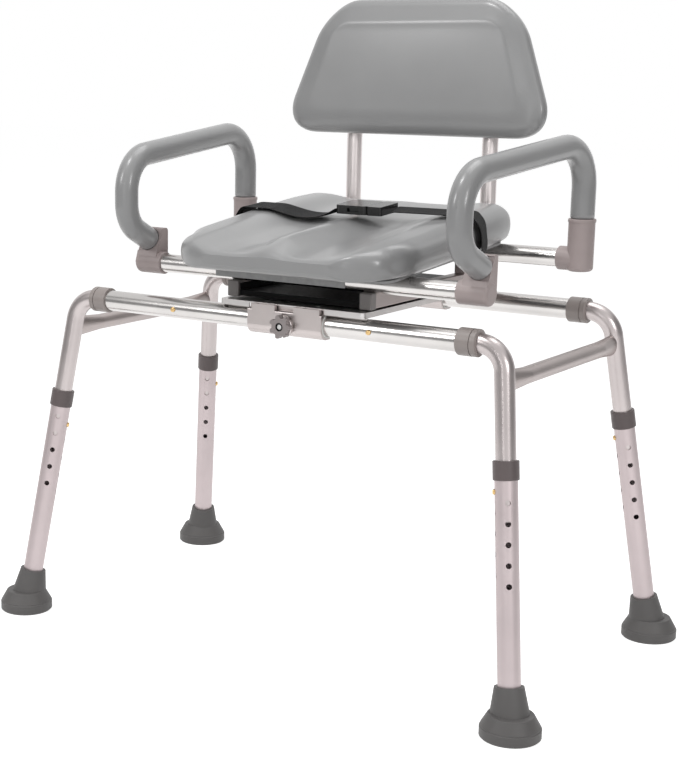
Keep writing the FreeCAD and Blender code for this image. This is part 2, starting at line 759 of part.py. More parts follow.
def pivot_bolt():
    nut_base = TRAY_Z + TRAY_FLOOR + REST_GAP
    shank = rod(vec(SEAT_X, 0, PLATE_Z), vec(SEAT_X, 0, nut_base), PIVOT_R)
    head = hexagon(PIVOT_HEAD_R, PLATE_Z - PIVOT_HEAD_T, PIVOT_HEAD_T, SEAT_X)
    nut = hexagon(PIVOT_HEAD_R, nut_base, PIVOT_NUT_T, SEAT_X)
    return fused([shank, head, nut])


def clamp_pad():
    y = -RAIL_Y
    body = rod(knob_axis(y - PAD_R), knob_axis(y - PAD_BACK), PAD_R)
    keep_out = rod(vec(SLIDER_X - PAD_R - OVER, y, RAIL_Z), vec(SLIDER_X + PAD_R + OVER, y, RAIL_Z),
                   RAIL_R + PAD_SEAT_GAP)
    return body.cut(keep_out)


def lock_knob():
    """Knob along Z from its seat at zero, with the screw below it."""
    half_turn = math.pi / LOBE_COUNT
    core = Part.makeCylinder(KNOB_CORE_R, KNOB_THICK)
    shapes = [core]
    for k in range(LOBE_COUNT):
        angle = 2 * half_turn * k
        centre = vec(LOBE_OUT * math.cos(angle), LOBE_OUT * math.sin(angle), 0)
        shapes.append(Part.makeCylinder(LOBE_R, KNOB_THICK, centre))
    body = fused(shapes)
    for k in range(LOBE_COUNT):
        angle = half_turn * (2 * k + 1)
        reach = LOBE_OUT + LOBE_R
        centre = vec(reach * math.cos(angle), reach * math.sin(angle), -OVER)
        body = body.cut(Part.makeCylinder(LOBE_R, KNOB_THICK + OVER * 2, centre))
    dish = Part.makeCylinder(KNOB_DISH_R, KNOB_DISH + OVER, vec(0, 0, KNOB_THICK - KNOB_DISH))
    bolt = Part.makeCylinder(KNOB_BOLT_R, KNOB_BOLT_H, vec(0, 0, KNOB_THICK - KNOB_DISH))
    seat_y = -RAIL_Y - SLIDER_DEPTH - BOSS_PROUD - REST_GAP
    tip = -RAIL_Y - PAD_BACK - PAD_SEAT_GAP
    screw = Part.makeCylinder(SCREW_R, tip - seat_y, vec(0, 0, seat_y - tip))
    whole = fused([body.cut(dish), bolt, screw])
    return placed(whole, knob_axis(seat_y), ALONG_X, ALONG_Y * -1)


# Swivel part
def box_bar(grow, y0, y1):
    half = BAR_WIDE / 2 + grow
    x = SEAT_X + BAR_X
    low = BAR_BASE - grow
    high = BAR_TOP + grow
    corners = [vec(x - half, y0, low), vec(x + half, y0, low), vec(x + half, y0, high),
               vec(x - half, y0, high)]
    return Part.Face(evenly(corners, BAR_ROUND)).extrude(ALONG_Y * (y1 - y0))


def seat_bar():
    return box_bar(0, -BAR_FRONT, BAR_REAR).cut(box_bar(-BAR_WALL, -BAR_FRONT, BAR_REAR))


def end_cap(sy, end):
    ends = sorted([sy * (end - CAP_COVER), sy * (end + CAP_FRONT)])
    outer = box_bar(CAP_SKIN, ends[0], ends[1])
    face_y = sy * (end + CAP_FRONT)
    rim = [e for e in outer.Edges
           if abs(e.BoundBox.YMin - face_y) < TINY and abs(e.BoundBox.YMax - face_y) < TINY]
    outer = outer.makeFillet(CAP_ROUND, rim)
    ends = sorted([sy * (end - CAP_COVER), sy * end])
    cap = outer.cut(box_bar(0, ends[0], ends[1]))
    tube_left = vec(SEAT_X, FRONT_TUBE_Y, FRONT_TUBE_Z)
    return cap.cut(rod(tube_left, tube_left + ALONG_X * (BAR_X + BAR_WIDE), CROSS_R + REST_GAP))


def bar_end_caps():
    pair = [end_cap(-1, BAR_FRONT), end_cap(1, BAR_REAR)]
    return Part.makeCompound(pair + [mirrored(cap) for cap in pair])


def turntable_tray():
    half = BAR_X - BAR_WIDE / 2
    x0 = SEAT_X - half
    x1 = SEAT_X + half
    floor = block(x0, x1, -TRAY_FRONT, TRAY_REAR, TRAY_Z, TRAY_Z + TRAY_FLOOR)
    walls = [block(x0, x0 + TRAY_WALL, -TRAY_FRONT, TRAY_REAR, TRAY_Z, TRAY_Z + TRAY_RISE),
             block(x1 - TRAY_WALL, x1, -TRAY_FRONT, TRAY_REAR, TRAY_Z, TRAY_Z + TRAY_RISE),
             block(x0, x1, -TRAY_FRONT, TRAY_WALL - TRAY_FRONT, TRAY_Z - TRAY_LIP, TRAY_Z + TRAY_FLOOR),
             block(x0, x1, TRAY_REAR - TRAY_WALL, TRAY_REAR, TRAY_Z - TRAY_LIP, TRAY_Z + TRAY_FLOOR)]
    body = fused([floor] + walls)
    for y0, y1 in ((-TRAY_FRONT - OVER, CAP_COVER + REST_GAP - BAR_FRONT),
                   (BAR_REAR - CAP_COVER - REST_GAP, TRAY_REAR + OVER)):
        cap_room = box_bar(CAP_SKIN + REST_GAP, y0, y1)
        body = body.cut(cap_room).cut(mirrored(cap_room))
    return body.cut(rod(vec(SEAT_X, 0, TRAY_Z - OVER), vec(SEAT_X, 0, TRAY_Z + OVER), PIVOT_R + SLIP))


def cross_tube(half, y, z):
    return tube(vec(SEAT_X - half, y, z), vec(SEAT_X + half, y, z), CROSS_R, CROSS_R - CROSS_WALL)


def rear_bracket():
    x = SEAT_X + POST_X
    x0 = SEAT_X + BAR_X - BAR_WIDE / 2
    y = REAR_TUBE_Y
    saddle = block(x0, x0 + BRACKET_OUT + BAR_WIDE / 2, y - BRACKET_FRONT, y + BRACKET_BACK,
                   BAR_TOP, REAR_TUBE_Z)
    over_cap = BAR_TOP + CAP_SKIN + REST_GAP
    web = block(x - WEB_THICK / 2, x + WEB_THICK / 2, y, POST_Y, over_cap, BAR_TOP + WEB_TALL)
    base = vec(x, POST_Y, over_cap)
    corners = [vec(0, 0, 0), vec(SOCKET_R, 0, 0), vec(SOCKET_R, 0, SOCKET_TALL), vec(0, 0, SOCKET_TALL)]
    socket = turned(corners, [0, CAP_ROUND, CAP_ROUND, 0], vec(0, 0, 0), UP)
    socket.translate(base)
    body = fused([saddle, web, socket])
    body = body.cut(rod(base + UP * SOCKET_FLOOR, base + UP * (SOCKET_TALL + OVER), POST_R))
    trough = rod(vec(x0 - OVER, y, REAR_TUBE_Z), vec(x0 + BRACKET_OUT + BAR_WIDE, y, REAR_TUBE_Z), CROSS_R)
    return body.cut(trough)


def arm_frame(along, aside, z):
    """Point of the right arm: forward from its hinge, outward from its plane, and height."""
    x = SEAT_X + REAR_ARM_X - along * math.sin(TOE_IN) + aside * math.cos(TOE_IN)
    y = REAR_TUBE_Y - along * math.cos(TOE_IN) - aside * math.sin(TOE_IN)
    return vec(x, y, z)


def arm_points(base_z, shorter):
    tip = arm_frame(ARM_TIP, 0, ARM_TIP_Z)
    low = arm_frame(ARM_FRONT, 0, ARM_FRONT_LOW)
    back = (tip - low).normalize()
    return [arm_frame(0, 0, base_z), arm_frame(0, 0, ARM_TOP), arm_frame(ARM_FRONT, 0, ARM_FRONT_TOP),
            low, tip - back * shorter]


ARM_BENDS = [ARM_REAR_BEND, ARM_FRONT_BEND, ARM_LOW_BEND]


def arm_tube():
    points = arm_points(ELBOW_BASE + ELBOW_FLOOR + REST_GAP, FOAM_END_CAP)
    return swept_tube(points, ARM_BENDS, ARM_R, ARM_R - ARM_WALL)


def arm_foam():
    outer = swept(arm_points(ELBOW_TOP + REST_GAP, 0), ARM_BENDS, FOAM_R)
    inner = swept(arm_points(ELBOW_TOP + REST_GAP, FOAM_END_CAP), ARM_BENDS, ARM_R)
    tip = arm_frame(ARM_TIP, 0, ARM_TIP_Z)
    rim = [e for e in outer.Edges if e.BoundBox.Center.distanceToPoint(tip) < FOAM_ROUND
           and e.BoundBox.DiagonalLength < FOAM_R * math.pi]
    outer = outer.makeFillet(FOAM_ROUND, rim)
    return outer.cut(inner)


def cradle_upright(origin):
    """Upright on the tee, with the round seat that the arm's tip rests against, open outwards."""
    tip = arm_frame(ARM_TIP, 0, ARM_TIP_Z)
    along = (tip - arm_frame(ARM_FRONT, 0, ARM_FRONT_LOW)).normalize()
    climb = (UP - along * along.dot(UP)).normalize()
    face = tip - along * CRADLE_SEAT
    lower = face - climb * (FOAM_R + CRADLE_UNDER)
    upper = face + climb * (FOAM_R + CRADLE_SEAT)
    left = origin.x - CRADLE_IN
    rear = origin.y + TEE_R
    corners = [vec(left, origin.y - TEE_R, origin.z), vec(left, lower.y, lower.z),
               vec(left, upper.y, upper.z), vec(left, rear, upper.z), vec(left, rear, origin.z)]
    wire = outline(corners, [0, 0, CRADLE_TOP_R, CRADLE_TOP_R, 0])
    body = Part.Face(wire).extrude(ALONG_X * (CRADLE_IN + CRADLE_OUT))
    radius = FOAM_R + CRADLE_SLACK
    out = CRADLE_IN + CRADLE_OUT
    corners = [vec(-radius, -radius, 0), vec(out, -radius, 0), vec(out, radius, 0), vec(-radius, radius, 0)]
    room = Part.Face(outline(corners, [radius - TINY, 0, 0, radius - TINY]))
    room = room.extrude(UP * (FOAM_R + CRADLE_SEAT))
    aside = arm_frame(0, 1, 0) - arm_frame(0, 0, 0)
    return body.cut(placed(room, tip + along * REST_GAP, aside, along * -1))


def front_tee():
    origin = vec(SEAT_X + FRONT_ARM_X, FRONT_TUBE_Y, FRONT_TUBE_Z)
    corners = [vec(0, 0, -TEE_IN), vec(TEE_R, 0, -TEE_IN), vec(TEE_R, 0, TEE_OUT), vec(0, 0, TEE_OUT)]
    sleeve = turned(corners, [0, KNOB_ROUND, TEE_ROUND, 0], vec(0, 0, 0), UP)
    sleeve = placed(sleeve, origin, ALONG_Y, ALONG_X)
    body = fused([sleeve, cradle_upright(origin)])
    return body.cut(rod(origin - ALONG_X * (TEE_IN + OVER), origin + ALONG_X * TEE_PLUG, CROSS_R))


def rear_elbow():
    foot_point = vec(SEAT_X + REAR_ARM_X, REAR_TUBE_Y, ELBOW_BASE)
    tall = ELBOW_TOP - ELBOW_BASE
    lip = ELBOW_R + ELBOW_LIP
    corners = [vec(0, 0, 0), vec(ELBOW_R, 0, 0), vec(ELBOW_R, 0, tall - ELBOW_LIP_TALL),
               vec(lip, 0, tall - ELBOW_LIP_TALL), vec(lip, 0, tall), vec(0, 0, tall)]
    sleeve = turned(corners, [0, TEE_ROUND, 0, 0, KNOB_ROUND, 0], vec(0, 0, 0), UP)
    sleeve.translate(foot_point)
    middle = vec(SEAT_X + REAR_ARM_X, REAR_TUBE_Y, REAR_TUBE_Z)
    arm = rod(middle - ALONG_X * ELBOW_IN, middle, ELBOW_SLEEVE_R)
    body = fused([sleeve, arm])
    body = body.cut(rod(foot_point + UP * ELBOW_FLOOR, foot_point + UP * (tall + OVER), ARM_R + SLIP))
    plug_end = middle - ALONG_X * (ARM_R + ELBOW_WALL)
    return body.cut(rod(middle - ALONG_X * (ELBOW_IN + OVER), plug_end, CROSS_R))


def on_seat(shape):
    """Move a shape from the seat's own axes, whose origin is the middle of the front tube."""
    origin = vec(SEAT_X, FRONT_TUBE_Y, FRONT_TUBE_Z)
    return placed(shape, origin, ALONG_X, vec(0, -math.sin(SEAT_TILT), math.cos(SEAT_TILT)))


def seat_pan():
    half = PAN_HALF
    corners = [vec(-half, -PAN_FRONT, CROSS_R), vec(half, -PAN_FRONT, CROSS_R), vec(half, PAN_REAR, CROSS_R),
               vec(-half, PAN_REAR, CROSS_R)]
    sheet = Part.Face(evenly(corners, PAN_CORNER)).extrude(UP * PAN_THICK)
    lip = block(-PAN_LIP_HALF, PAN_LIP_HALF, -PAN_FRONT, PAN_LIP_T - PAN_FRONT,
                CROSS_R - PAN_LIP_TALL, CROSS_R + PAN_THICK)
    return on_seat(fused([sheet, lip]))


def cushion_section(shares):
    at, wide, under, rim, channel, ridge = shares
    v = -CUSHION_FRONT + (CUSHION_FRONT + CUSHION_REAR) * at
    half = CUSHION_HALF * wide
    low = PAN_TOP + CUSHION_TALL * under
    rim_z = PAN_TOP + CUSHION_TALL * rim
    side_z = low + (rim_z - low) * SIDE_SHARE
    right = [(half * FLOOR_SHARE, low), (half, side_z), (half * RIM_SHARE, rim_z),
             (half * CHANNEL_SHARE, PAN_TOP + CUSHION_TALL * channel)]
    top = [(0, PAN_TOP + CUSHION_TALL * ridge)]
    left = [(-x, z) for x, z in reversed(right)]
    scale = (rim - under) * math.sqrt(rim - under)
    bends = [CUSHION_LOW_R * scale, CUSHION_SIDE_R * scale, CUSHION_RIM_R * scale, CUSHION_CHANNEL_R]
    radii = bends + [CUSHION_RIDGE_R] + list(reversed(bends))
    return outline([vec(x, v, z) for x, z in right + top + left], radii)


def seat_cushion():
    body = Part.makeLoft([cushion_section(shares) for shares in CUSHION_SHARES], True, False)
    below = block(-CUSHION_HALF * 2, CUSHION_HALF * 2, -CUSHION_FRONT * 2, CUSHION_REAR * 2, -OVER, PAN_TOP)
    return on_seat(body.cut(below))


# Back
def on_back(shape):
    """Move a shape from the back's own axes, whose origin is the bend of the posts."""
    lean = math.radians(BACK_LEAN_DEG)
    return placed(shape, vec(SEAT_X, POST_Y, POST_BEND_Z), ALONG_X, vec(0, math.sin(lean), math.cos(lean)))


def back_outline(y, inset):
    slope = (BACK_LOW_HALF - BACK_TOP_HALF) / (BACK_HIGH - BACK_LOW)
    skew = math.sqrt(slope ** 2 + 1)
    low = BACK_LOW + inset
    high = BACK_HIGH - inset
    low_half = BACK_LOW_HALF - slope * inset - skew * inset
    high_half = BACK_TOP_HALF + slope * inset - skew * inset
    corners = [vec(-low_half, y, low), vec(low_half, y, low), vec(high_half, y, high),
               vec(-high_half, y, high)]
    low_r = BACK_LOW_R - inset
    top_r = BACK_TOP_R - inset
    return outline(corners, [low_r, low_r, top_r, top_r])


def back_pad():
    back = -POST_R - BOARD_THICK
    rings = []
    for depth, inset in PAD_INSET_SHARES:
        rings.append(back_outline(back - PAD_THICK * depth, PAD_THICK * inset))
    return on_back(Part.makeLoft(rings, True, False))


def back_board():
    face = Part.Face(back_outline(-POST_R, BOARD_INSET))
    return on_back(face.extrude(vec(0, -BOARD_THICK, 0)))


def back_post():
    x = SEAT_X + POST_X
    lean = math.radians(BACK_LEAN_DEG)
    points = [vec(x, POST_Y, BAR_TOP + CAP_SKIN + REST_GAP + SOCKET_FLOOR), vec(x, POST_Y, POST_BEND_Z),
              vec(x, POST_Y + POST_UPPER * math.sin(lean), POST_BEND_Z + POST_UPPER * math.cos(lean))]
    return swept_tube(points, [POST_BEND_R], POST_R, POST_R - POST_WALL)


# Belt
def strip(points, radii):
    """Webbing along a path in the XZ plane, its width along Y and centred."""
    start = points[0]
    run = (points[1] - start).normalize()
    side = vec(-run.z, 0, run.x) * (STRAP_THICK / 2)
    wide = ALONG_Y * (STRAP_WIDE / 2)
    section = outline([start - side - wide, start - side + wide, start + side + wide, start + side - wide])
    return bent_path(points, radii).makePipeShell([section], True, False)


STRAP_SIDE = CUSHION_HALF + STRAP_OFF
BELT_W = PAN_TOP + CUSHION_TALL * BELT_SHARE + STRAP_OVER
UNDER_W = CROSS_R - STRAP_THICK / 2 - REST_GAP
BUCKLE_BASE = BELT_W - BUCKLE_TALL / 2 + STRAP_OVER


def belt_strap_left():
    points = [vec(-STRAP_SIDE + STRAP_TUCK, 0, UNDER_W), vec(-STRAP_SIDE, 0, UNDER_W),
              vec(-STRAP_SIDE, 0, BELT_W), vec(BUCKLE_START + OVER, 0, BUCKLE_BASE + BUCKLE_TALL / 2)]
    band = strip(points, [STRAP_BEND, STRAP_BEND])
    past = block(BUCKLE_START, BUCKLE_START + BUCKLE_BODY, -STRAP_WIDE, STRAP_WIDE, BUCKLE_BASE - OVER,
                 BUCKLE_BASE + BUCKLE_TALL + OVER)
    band = band.cut(past)
    band.translate(vec(0, STRAP_V, 0))
    return on_seat(band)


def belt_strap_right():
    run = RIGHT_STRAP_RUN
    points = [vec(0, 0, BUCKLE_BASE + BUCKLE_TALL / 2), vec(run, 0, BELT_W), vec(run, 0, UNDER_W),
              vec(run - STRAP_TUCK, 0, UNDER_W)]
    band = strip(points, [STRAP_BEND, STRAP_BEND])
    angle = math.radians(RIGHT_STRAP_DEG)
    end = BUCKLE_START + BUCKLE_BODY + REST_GAP + TONGUE_OUT
    origin = vec(end + STRAP_WIDE / 2 * math.sin(angle), STRAP_V, 0)
    return on_seat(placed(band, origin, vec(math.cos(angle), math.sin(angle), 0), UP))


def buckle_socket():
    x0 = BUCKLE_START
    x1 = x0 + BUCKLE_BODY
    half = BUCKLE_HALF
    z0 = BUCKLE_BASE
    corners = [vec(x0, -half, z0), vec(x1, -half, z0), vec(x1, half, z0), vec(x0, half, z0)]
    body = Part.Face(evenly(corners, SOCKET_ROUND)).extrude(UP * BUCKLE_TALL)
    room = half - BUCKLE_WALL
    body = body.cut(block(x0 + BUCKLE_BAR, x1 + OVER, -room, room, z0 + BUCKLE_WALL,
                          z0 + BUCKLE_TALL - BUCKLE_WALL))
    middle = z0 + BUCKLE_TALL / 2
    window = x0 + BUCKLE_BAR + BUCKLE_WALL
    body = body.cut(block(window, window + WINDOW_LONG, -half - OVER, half + OVER,
                          middle - WINDOW_TALL / 2, middle + WINDOW_TALL / 2))
    body.translate(vec(0, STRAP_V, 0))
    return on_seat(body)


def buckle_tongue():
    x0 = BUCKLE_START + BUCKLE_BODY + REST_GAP
    x1 = x0 + TONGUE_OUT
    half = BUCKLE_HALF
    middle = BUCKLE_BASE + BUCKLE_TALL / 2
    corners = [vec(x0, -half, BUCKLE_BASE), vec(x1, -half, BUCKLE_BASE), vec(x1, half, BUCKLE_BASE),
               vec(x0, half, BUCKLE_BASE)]
    plate = Part.Face(evenly(corners, BUCKLE_ROUND)).extrude(UP * BUCKLE_TALL)
    shapes = [plate]
    start = BUCKLE_START + BUCKLE_BAR + PRONG_INSET
    for side in (-1, 1):
        outer = side * (half - BUCKLE_WALL - REST_GAP)
        ends = sorted([outer, outer - side * PRONG_WIDE])
        shapes.append(block(start, x0 + BUCKLE_ROUND, ends[0], ends[1], middle - PRONG_TALL / 2,
                            middle + PRONG_TALL / 2))
    body = fused(shapes)
    body.translate(vec(0, STRAP_V, 0))
    return on_seat(body)


# Write every node
os.makedirs("parts", exist_ok=True)
nodes = {
    "front_rail": rail(-1),
    "rear_rail": rail(1),
    "side_braces": Part.makeCompound([side_brace(-1), side_brace(1)]),
    "rail_end_collars": Part.makeCompound([rail_end_collar(sx, sy) for sx in (-1, 1) for sy in (-1, 1)]),
    "front_slider": front_slider(),
    "rear_slider": rear_slider(),
    "slider_liners": slider_liners(),
    "slide_plate": slide_plate(),
    "carriage_fasteners": carriage_fasteners(),
    "turntable_lower_race": race(PLATE_TOP, PLATE_TOP + (TURN_HEIGHT - RACE_GAP) / 2),
    "turntable_upper_race": race(TRAY_Z - (TURN_HEIGHT - RACE_GAP) / 2, TRAY_Z),
    "turntable_balls": turntable_balls(),
    "pivot_bolt": pivot_bolt(),
    "clamp_pad": clamp_pad(),
    "lock_knob": lock_knob(),
    "turntable_tray": turntable_tray(),
    "seat_bars": both(seat_bar()),
    "bar_end_caps": bar_end_caps(),
    "front_cross_tube": cross_tube(FRONT_ARM_X + TEE_PLUG, FRONT_TUBE_Y, FRONT_TUBE_Z),
    "rear_cross_tube": cross_tube(REAR_ARM_X - ARM_R - ELBOW_WALL, REAR_TUBE_Y, REAR_TUBE_Z),
    "rear_brackets": both(rear_bracket()),
    "arm_cradles": both(front_tee()),
    "arm_sockets": both(rear_elbow()),
    "seat_pan": seat_pan(),
    "seat_cushion": seat_cushion(),
    "back_posts": both(back_post()),
    "back_board": back_board(),
    "back_pad": back_pad(),
    "belt_strap_left": belt_strap_left(),
    "belt_strap_right": belt_strap_right(),
    "buckle_socket": buckle_socket(),
    "buckle_tongue": buckle_tongue(),
    "arm_tube_right": arm_tube(),
    "arm_foam_right": arm_foam(),
}
nodes["arm_tube_left"] = mirrored(nodes["arm_tube_right"])
nodes["arm_foam_left"] = mirrored(nodes["arm_foam_right"])
for end_name, end_sign in ENDS.items():
    for side_name, side_sign in SIDES.items():
        place = end_name + side_name
        nodes["leg_bend_" + place] = leg_bend(side_sign, end_sign)
        nodes["lower_leg_tube_" + place] = lower_leg_tube(side_sign, end_sign)
        nodes["leg_collar_" + place] = leg_collar(side_sign, end_sign)
        nodes["leg_foot_" + place] = foot(side_sign, end_sign)
        nodes["leg_clip_" + place] = leg_clip(side_sign, end_sign)
        nodes["rail_clip_" + place] = rail_clip(side_sign, end_sign)

for name, shape in nodes.items():
    shape.exportStep("parts/" + name + ".step")
    print(name, len(shape.Solids), shape.isValid(), round(shape.Volume))
print(len(nodes), "nodes")
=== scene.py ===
"""Looks of a sliding transfer bench: its finishes, cushions, arm sleeves, lap belt and studio."""

import bisect
import logging
import math
from dataclasses import dataclass, field
from enum import Enum
from functools import lru_cache

import bmesh
import bpy
from mathutils import Matrix, Vector

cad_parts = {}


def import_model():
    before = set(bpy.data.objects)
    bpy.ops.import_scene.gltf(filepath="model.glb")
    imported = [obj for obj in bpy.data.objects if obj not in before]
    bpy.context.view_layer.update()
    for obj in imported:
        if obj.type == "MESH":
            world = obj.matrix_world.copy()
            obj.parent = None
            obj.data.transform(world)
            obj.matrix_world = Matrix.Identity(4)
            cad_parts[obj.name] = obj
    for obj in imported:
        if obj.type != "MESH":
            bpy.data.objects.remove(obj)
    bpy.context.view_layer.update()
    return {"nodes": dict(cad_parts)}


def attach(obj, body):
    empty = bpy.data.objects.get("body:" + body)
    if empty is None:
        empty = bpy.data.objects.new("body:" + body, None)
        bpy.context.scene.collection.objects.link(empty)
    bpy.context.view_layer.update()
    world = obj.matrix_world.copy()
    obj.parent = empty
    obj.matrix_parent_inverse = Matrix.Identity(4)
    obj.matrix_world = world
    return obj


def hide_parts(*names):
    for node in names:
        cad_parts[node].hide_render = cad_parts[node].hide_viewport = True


LOG = logging.getLogger("bench")
MM = 0.001
IMAGE_WIDE = 679
IMAGE_TALL = 762
TINY = 1e-9
# Digits that a share of the cushion's depth is kept to, so that its cross-section is worked out once.
SHARE_DIGITS = 5
# Scale of a wave texture that repeats once in a metre.
WAVE_PITCH = 0.314


class Axis(Enum):
    """Direction that the drawing marks of a metal piece run in."""

    X = (0.06, 1.0, 1.0)
    Y = (1.0, 0.06, 1.0)
    Z = (1.0, 1.0, 0.06)


class Side(Enum):
    """Side of the seat that a mirrored piece stands on."""

    LEFT = -1
    RIGHT = 1


class Recipe:
    """Node tree of one material, with short ways to add and join nodes."""

    def __init__(self, name: str) -> None:
        """Start a material.

        Args:
            name: the material's name.
        """
        self.material = bpy.data.materials.new(name)
        self.material.use_nodes = True
        self.tree = self.material.node_tree
        self.shader = self.tree.nodes["Principled BSDF"]

    def add(self, kind: str, **settings: object) -> bpy.types.Node:
        """Add a node.

        Args:
            kind: the node's type name without its ShaderNode prefix.
            settings: attributes of the node.

        Returns:
            The new node.
        """
        node = self.tree.nodes.new("ShaderNode" + kind)
        for key, value in settings.items():
            setattr(node, key, value)
        return node

    def join(self, source: bpy.types.NodeSocket, target: bpy.types.NodeSocket) -> None:
        """Link an output to an input."""
        self.tree.links.new(source, target)

    def place(self, stretch: tuple[float, float, float] = (1.0, 1.0, 1.0)) -> bpy.types.NodeSocket:
        """Object coordinates, stretched.

        Args:
            stretch: scale on each axis.

        Returns:
            The socket that holds the coordinates.
        """
        mapping = self.add("Mapping")
        mapping.inputs["Scale"].default_value = stretch
        self.join(self.add("TexCoord").outputs["Object"], mapping.inputs["Vector"])
        return mapping.outputs["Vector"]

    def noise(self, where: bpy.types.NodeSocket, scale: float, detail: float = 3.0) -> bpy.types.NodeSocket:
        """Noise pattern.

        Args:
            where: coordinates.
            scale: cells for each metre.
            detail: octaves.

        Returns:
            The socket that holds the factor.
        """
        node = self.add("TexNoise")
        node.inputs["Scale"].default_value = scale
        node.inputs["Detail"].default_value = detail
        self.join(where, node.inputs["Vector"])
        return node.outputs["Fac"]

    def ramp(self, factor: bpy.types.NodeSocket,
             stops: list[tuple[float, tuple[float, float, float]]]) -> bpy.types.NodeSocket:
        """Colour ramp.

        Args:
            factor: what the ramp reads.
            stops: position and colour of each stop.

        Returns:
            The socket that holds the colour.
        """
        node = self.add("ValToRGB")
        elements = node.color_ramp.elements
        while len(elements) < len(stops):
            elements.new(0.5)
        for element, (position, colour) in zip(elements, stops):
            element.position = position
            element.color = (*colour, 1.0)
        self.join(factor, node.inputs["Fac"])
        return node.outputs["Color"]

    def spread(self, factor: bpy.types.NodeSocket, low: float, high: float) -> bpy.types.NodeSocket:
        """Map a factor of 0 to 1 on to a range.

        Args:
            factor: what is mapped.
            low: result at 0.
            high: result at 1.

        Returns:
            The socket that holds the result.
        """
        node = self.add("MapRange")
        node.inputs["To Min"].default_value = low
        node.inputs["To Max"].default_value = high
        self.join(factor, node.inputs["Value"])
        return node.outputs["Result"]

    def bump(self, height: bpy.types.NodeSocket, distance: float, strength: float = 1.0,
             below: bpy.types.NodeSocket | None = None) -> bpy.types.NodeSocket:
        """Bump a height into the normal.

        Args:
            height: factor that is raised.
            distance: height in metres at a factor of 1.
            strength: share of the bump that shows.
            below: normal of a coarser bump that this one lies on.

        Returns:
            The socket that holds the normal.
        """
        node = self.add("Bump")
        node.inputs["Strength"].default_value = strength
        node.inputs["Distance"].default_value = distance
        self.join(height, node.inputs["Height"])
        if below is not None:
            self.join(below, node.inputs["Normal"])
        return node.outputs["Normal"]

    def feed(self, **sockets: bpy.types.NodeSocket) -> None:
        """Link outputs to the shader, by socket name with underscores for spaces."""
        for key, socket in sockets.items():
            self.join(socket, self.shader.inputs[key.replace("_", " ")])

    def combine(self, operation: str, first: bpy.types.NodeSocket,
                second: bpy.types.NodeSocket) -> bpy.types.NodeSocket:
        """Combine two outputs into one number.

        Args:
            operation: how they are combined.
            first: its first number.
            second: its second number.

        Returns:
            The socket that holds the result.
        """
        node = self.add("Math", operation=operation)
        self.join(first, node.inputs[0])
        self.join(second, node.inputs[1])
        return node.outputs["Value"]

    def set(self, **values: float) -> None:
        """Set plain values on the shader, by socket name with underscores for spaces."""
        for key, value in values.items():
            self.shader.inputs[key.replace("_", " ")].default_value = value


def shade(colour: tuple[float, float, float], share: float) -> tuple[float, float, float]:
    """Scale a colour by a share."""
    return tuple(min(channel * share, 1.0) for channel in colour)


@dataclass(frozen=True)
class Wear:
    """Slow drift of a finish's tone and roughness over the piece."""

    scale: float
    detail: float = 3.0
    ends: tuple[float, float] = (0.3, 0.7)
    shades: tuple[float, float] = (0.94, 1.06)
    rough: tuple[float, float] = (0.92, 1.1)

    def apply(self, recipe: Recipe, colour: tuple[float, float, float], roughness: float) -> None:
        """Drive the shader's colour and roughness by one noise.

        Args:
            recipe: the material.
            colour: its middle colour.
            roughness: its middle roughness.
        """
        cloud = recipe.noise(recipe.place(), self.scale, self.detail)
        tone = recipe.ramp(cloud, [(end, shade(colour, share)) for end, share in zip(self.ends, self.shades)])
        rough = recipe.spread(cloud, *(roughness * share for share in self.rough))
        recipe.feed(Base_Color=tone, Roughness=rough)


@dataclass(frozen=True)
class Aluminium:
    """Anodised aluminium tube, with fine drawing marks and faint handling haze."""

    name: str
    colour: tuple[float, float, float]
    roughness: float
    axis: Axis
    marks: float = 0.00002
    mark_scale: float = 900.0
    haze: Wear = Wear(14.0, ends=(0.35, 0.65), shades=(0.94, 1.04), rough=(0.85, 1.2))

    def material(self) -> bpy.types.Material:
        """Build the finish.

        Returns:
            The material.
        """
        recipe = Recipe(self.name)
        self.haze.apply(recipe, self.colour, self.roughness)
        lines = recipe.noise(recipe.place(self.axis.value), self.mark_scale, 2.0)
        recipe.feed(Normal=recipe.bump(lines, self.marks))
        recipe.set(Metallic=1.0)
        return recipe.material


@dataclass(frozen=True)
class Plastic:
    """Moulded plastic or rubber with a fine grain and slightly worn, uneven tone."""

    name: str
    colour: tuple[float, float, float]
    roughness: float
    grain: float = 0.00006
    grain_scale: float = 1400.0
    wear: Wear = Wear(22.0)

    def material(self) -> bpy.types.Material:
        """Build the finish.

        Returns:
            The material.
        """
        recipe = Recipe(self.name)
        self.wear.apply(recipe, self.colour, self.roughness)
        fine = recipe.noise(recipe.place(), self.grain_scale, 2.0)
        recipe.feed(Normal=recipe.bump(fine, self.grain))
        return recipe.material


@dataclass(frozen=True)
class SkinnedFoam:
    """Self-skinned polyurethane foam: a dense skin with pores and shallow moulding waves."""

    name: str
    colour: tuple[float, float, float]
    roughness: float = 0.32
    coat: float = 0.3
    coat_roughness: float = 0.17
    pore: float = 0.00006
    pore_scale: float = 1100.0
    pore_share: float = 0.8
    wave: float = 0.0007
    wave_scale: float = 16.0
    wave_share: float = 0.5
    wear: Wear = Wear(9.0, 4.0, shades=(0.96, 1.04))

    def material(self) -> bpy.types.Material:
        """Build the finish.

        Returns:
            The material.
        """
        recipe = Recipe(self.name)
        self.wear.apply(recipe, self.colour, self.roughness)
        where = recipe.place()
        waves = recipe.bump(recipe.noise(where, self.wave_scale, 1.0), self.wave, self.wave_share)
        pores = recipe.noise(where, self.pore_scale, 2.0)
        recipe.feed(Normal=recipe.bump(pores, self.pore, self.pore_share, waves))
        recipe.set(Coat_Weight=self.coat, Coat_Roughness=self.coat_roughness)
        return recipe.material


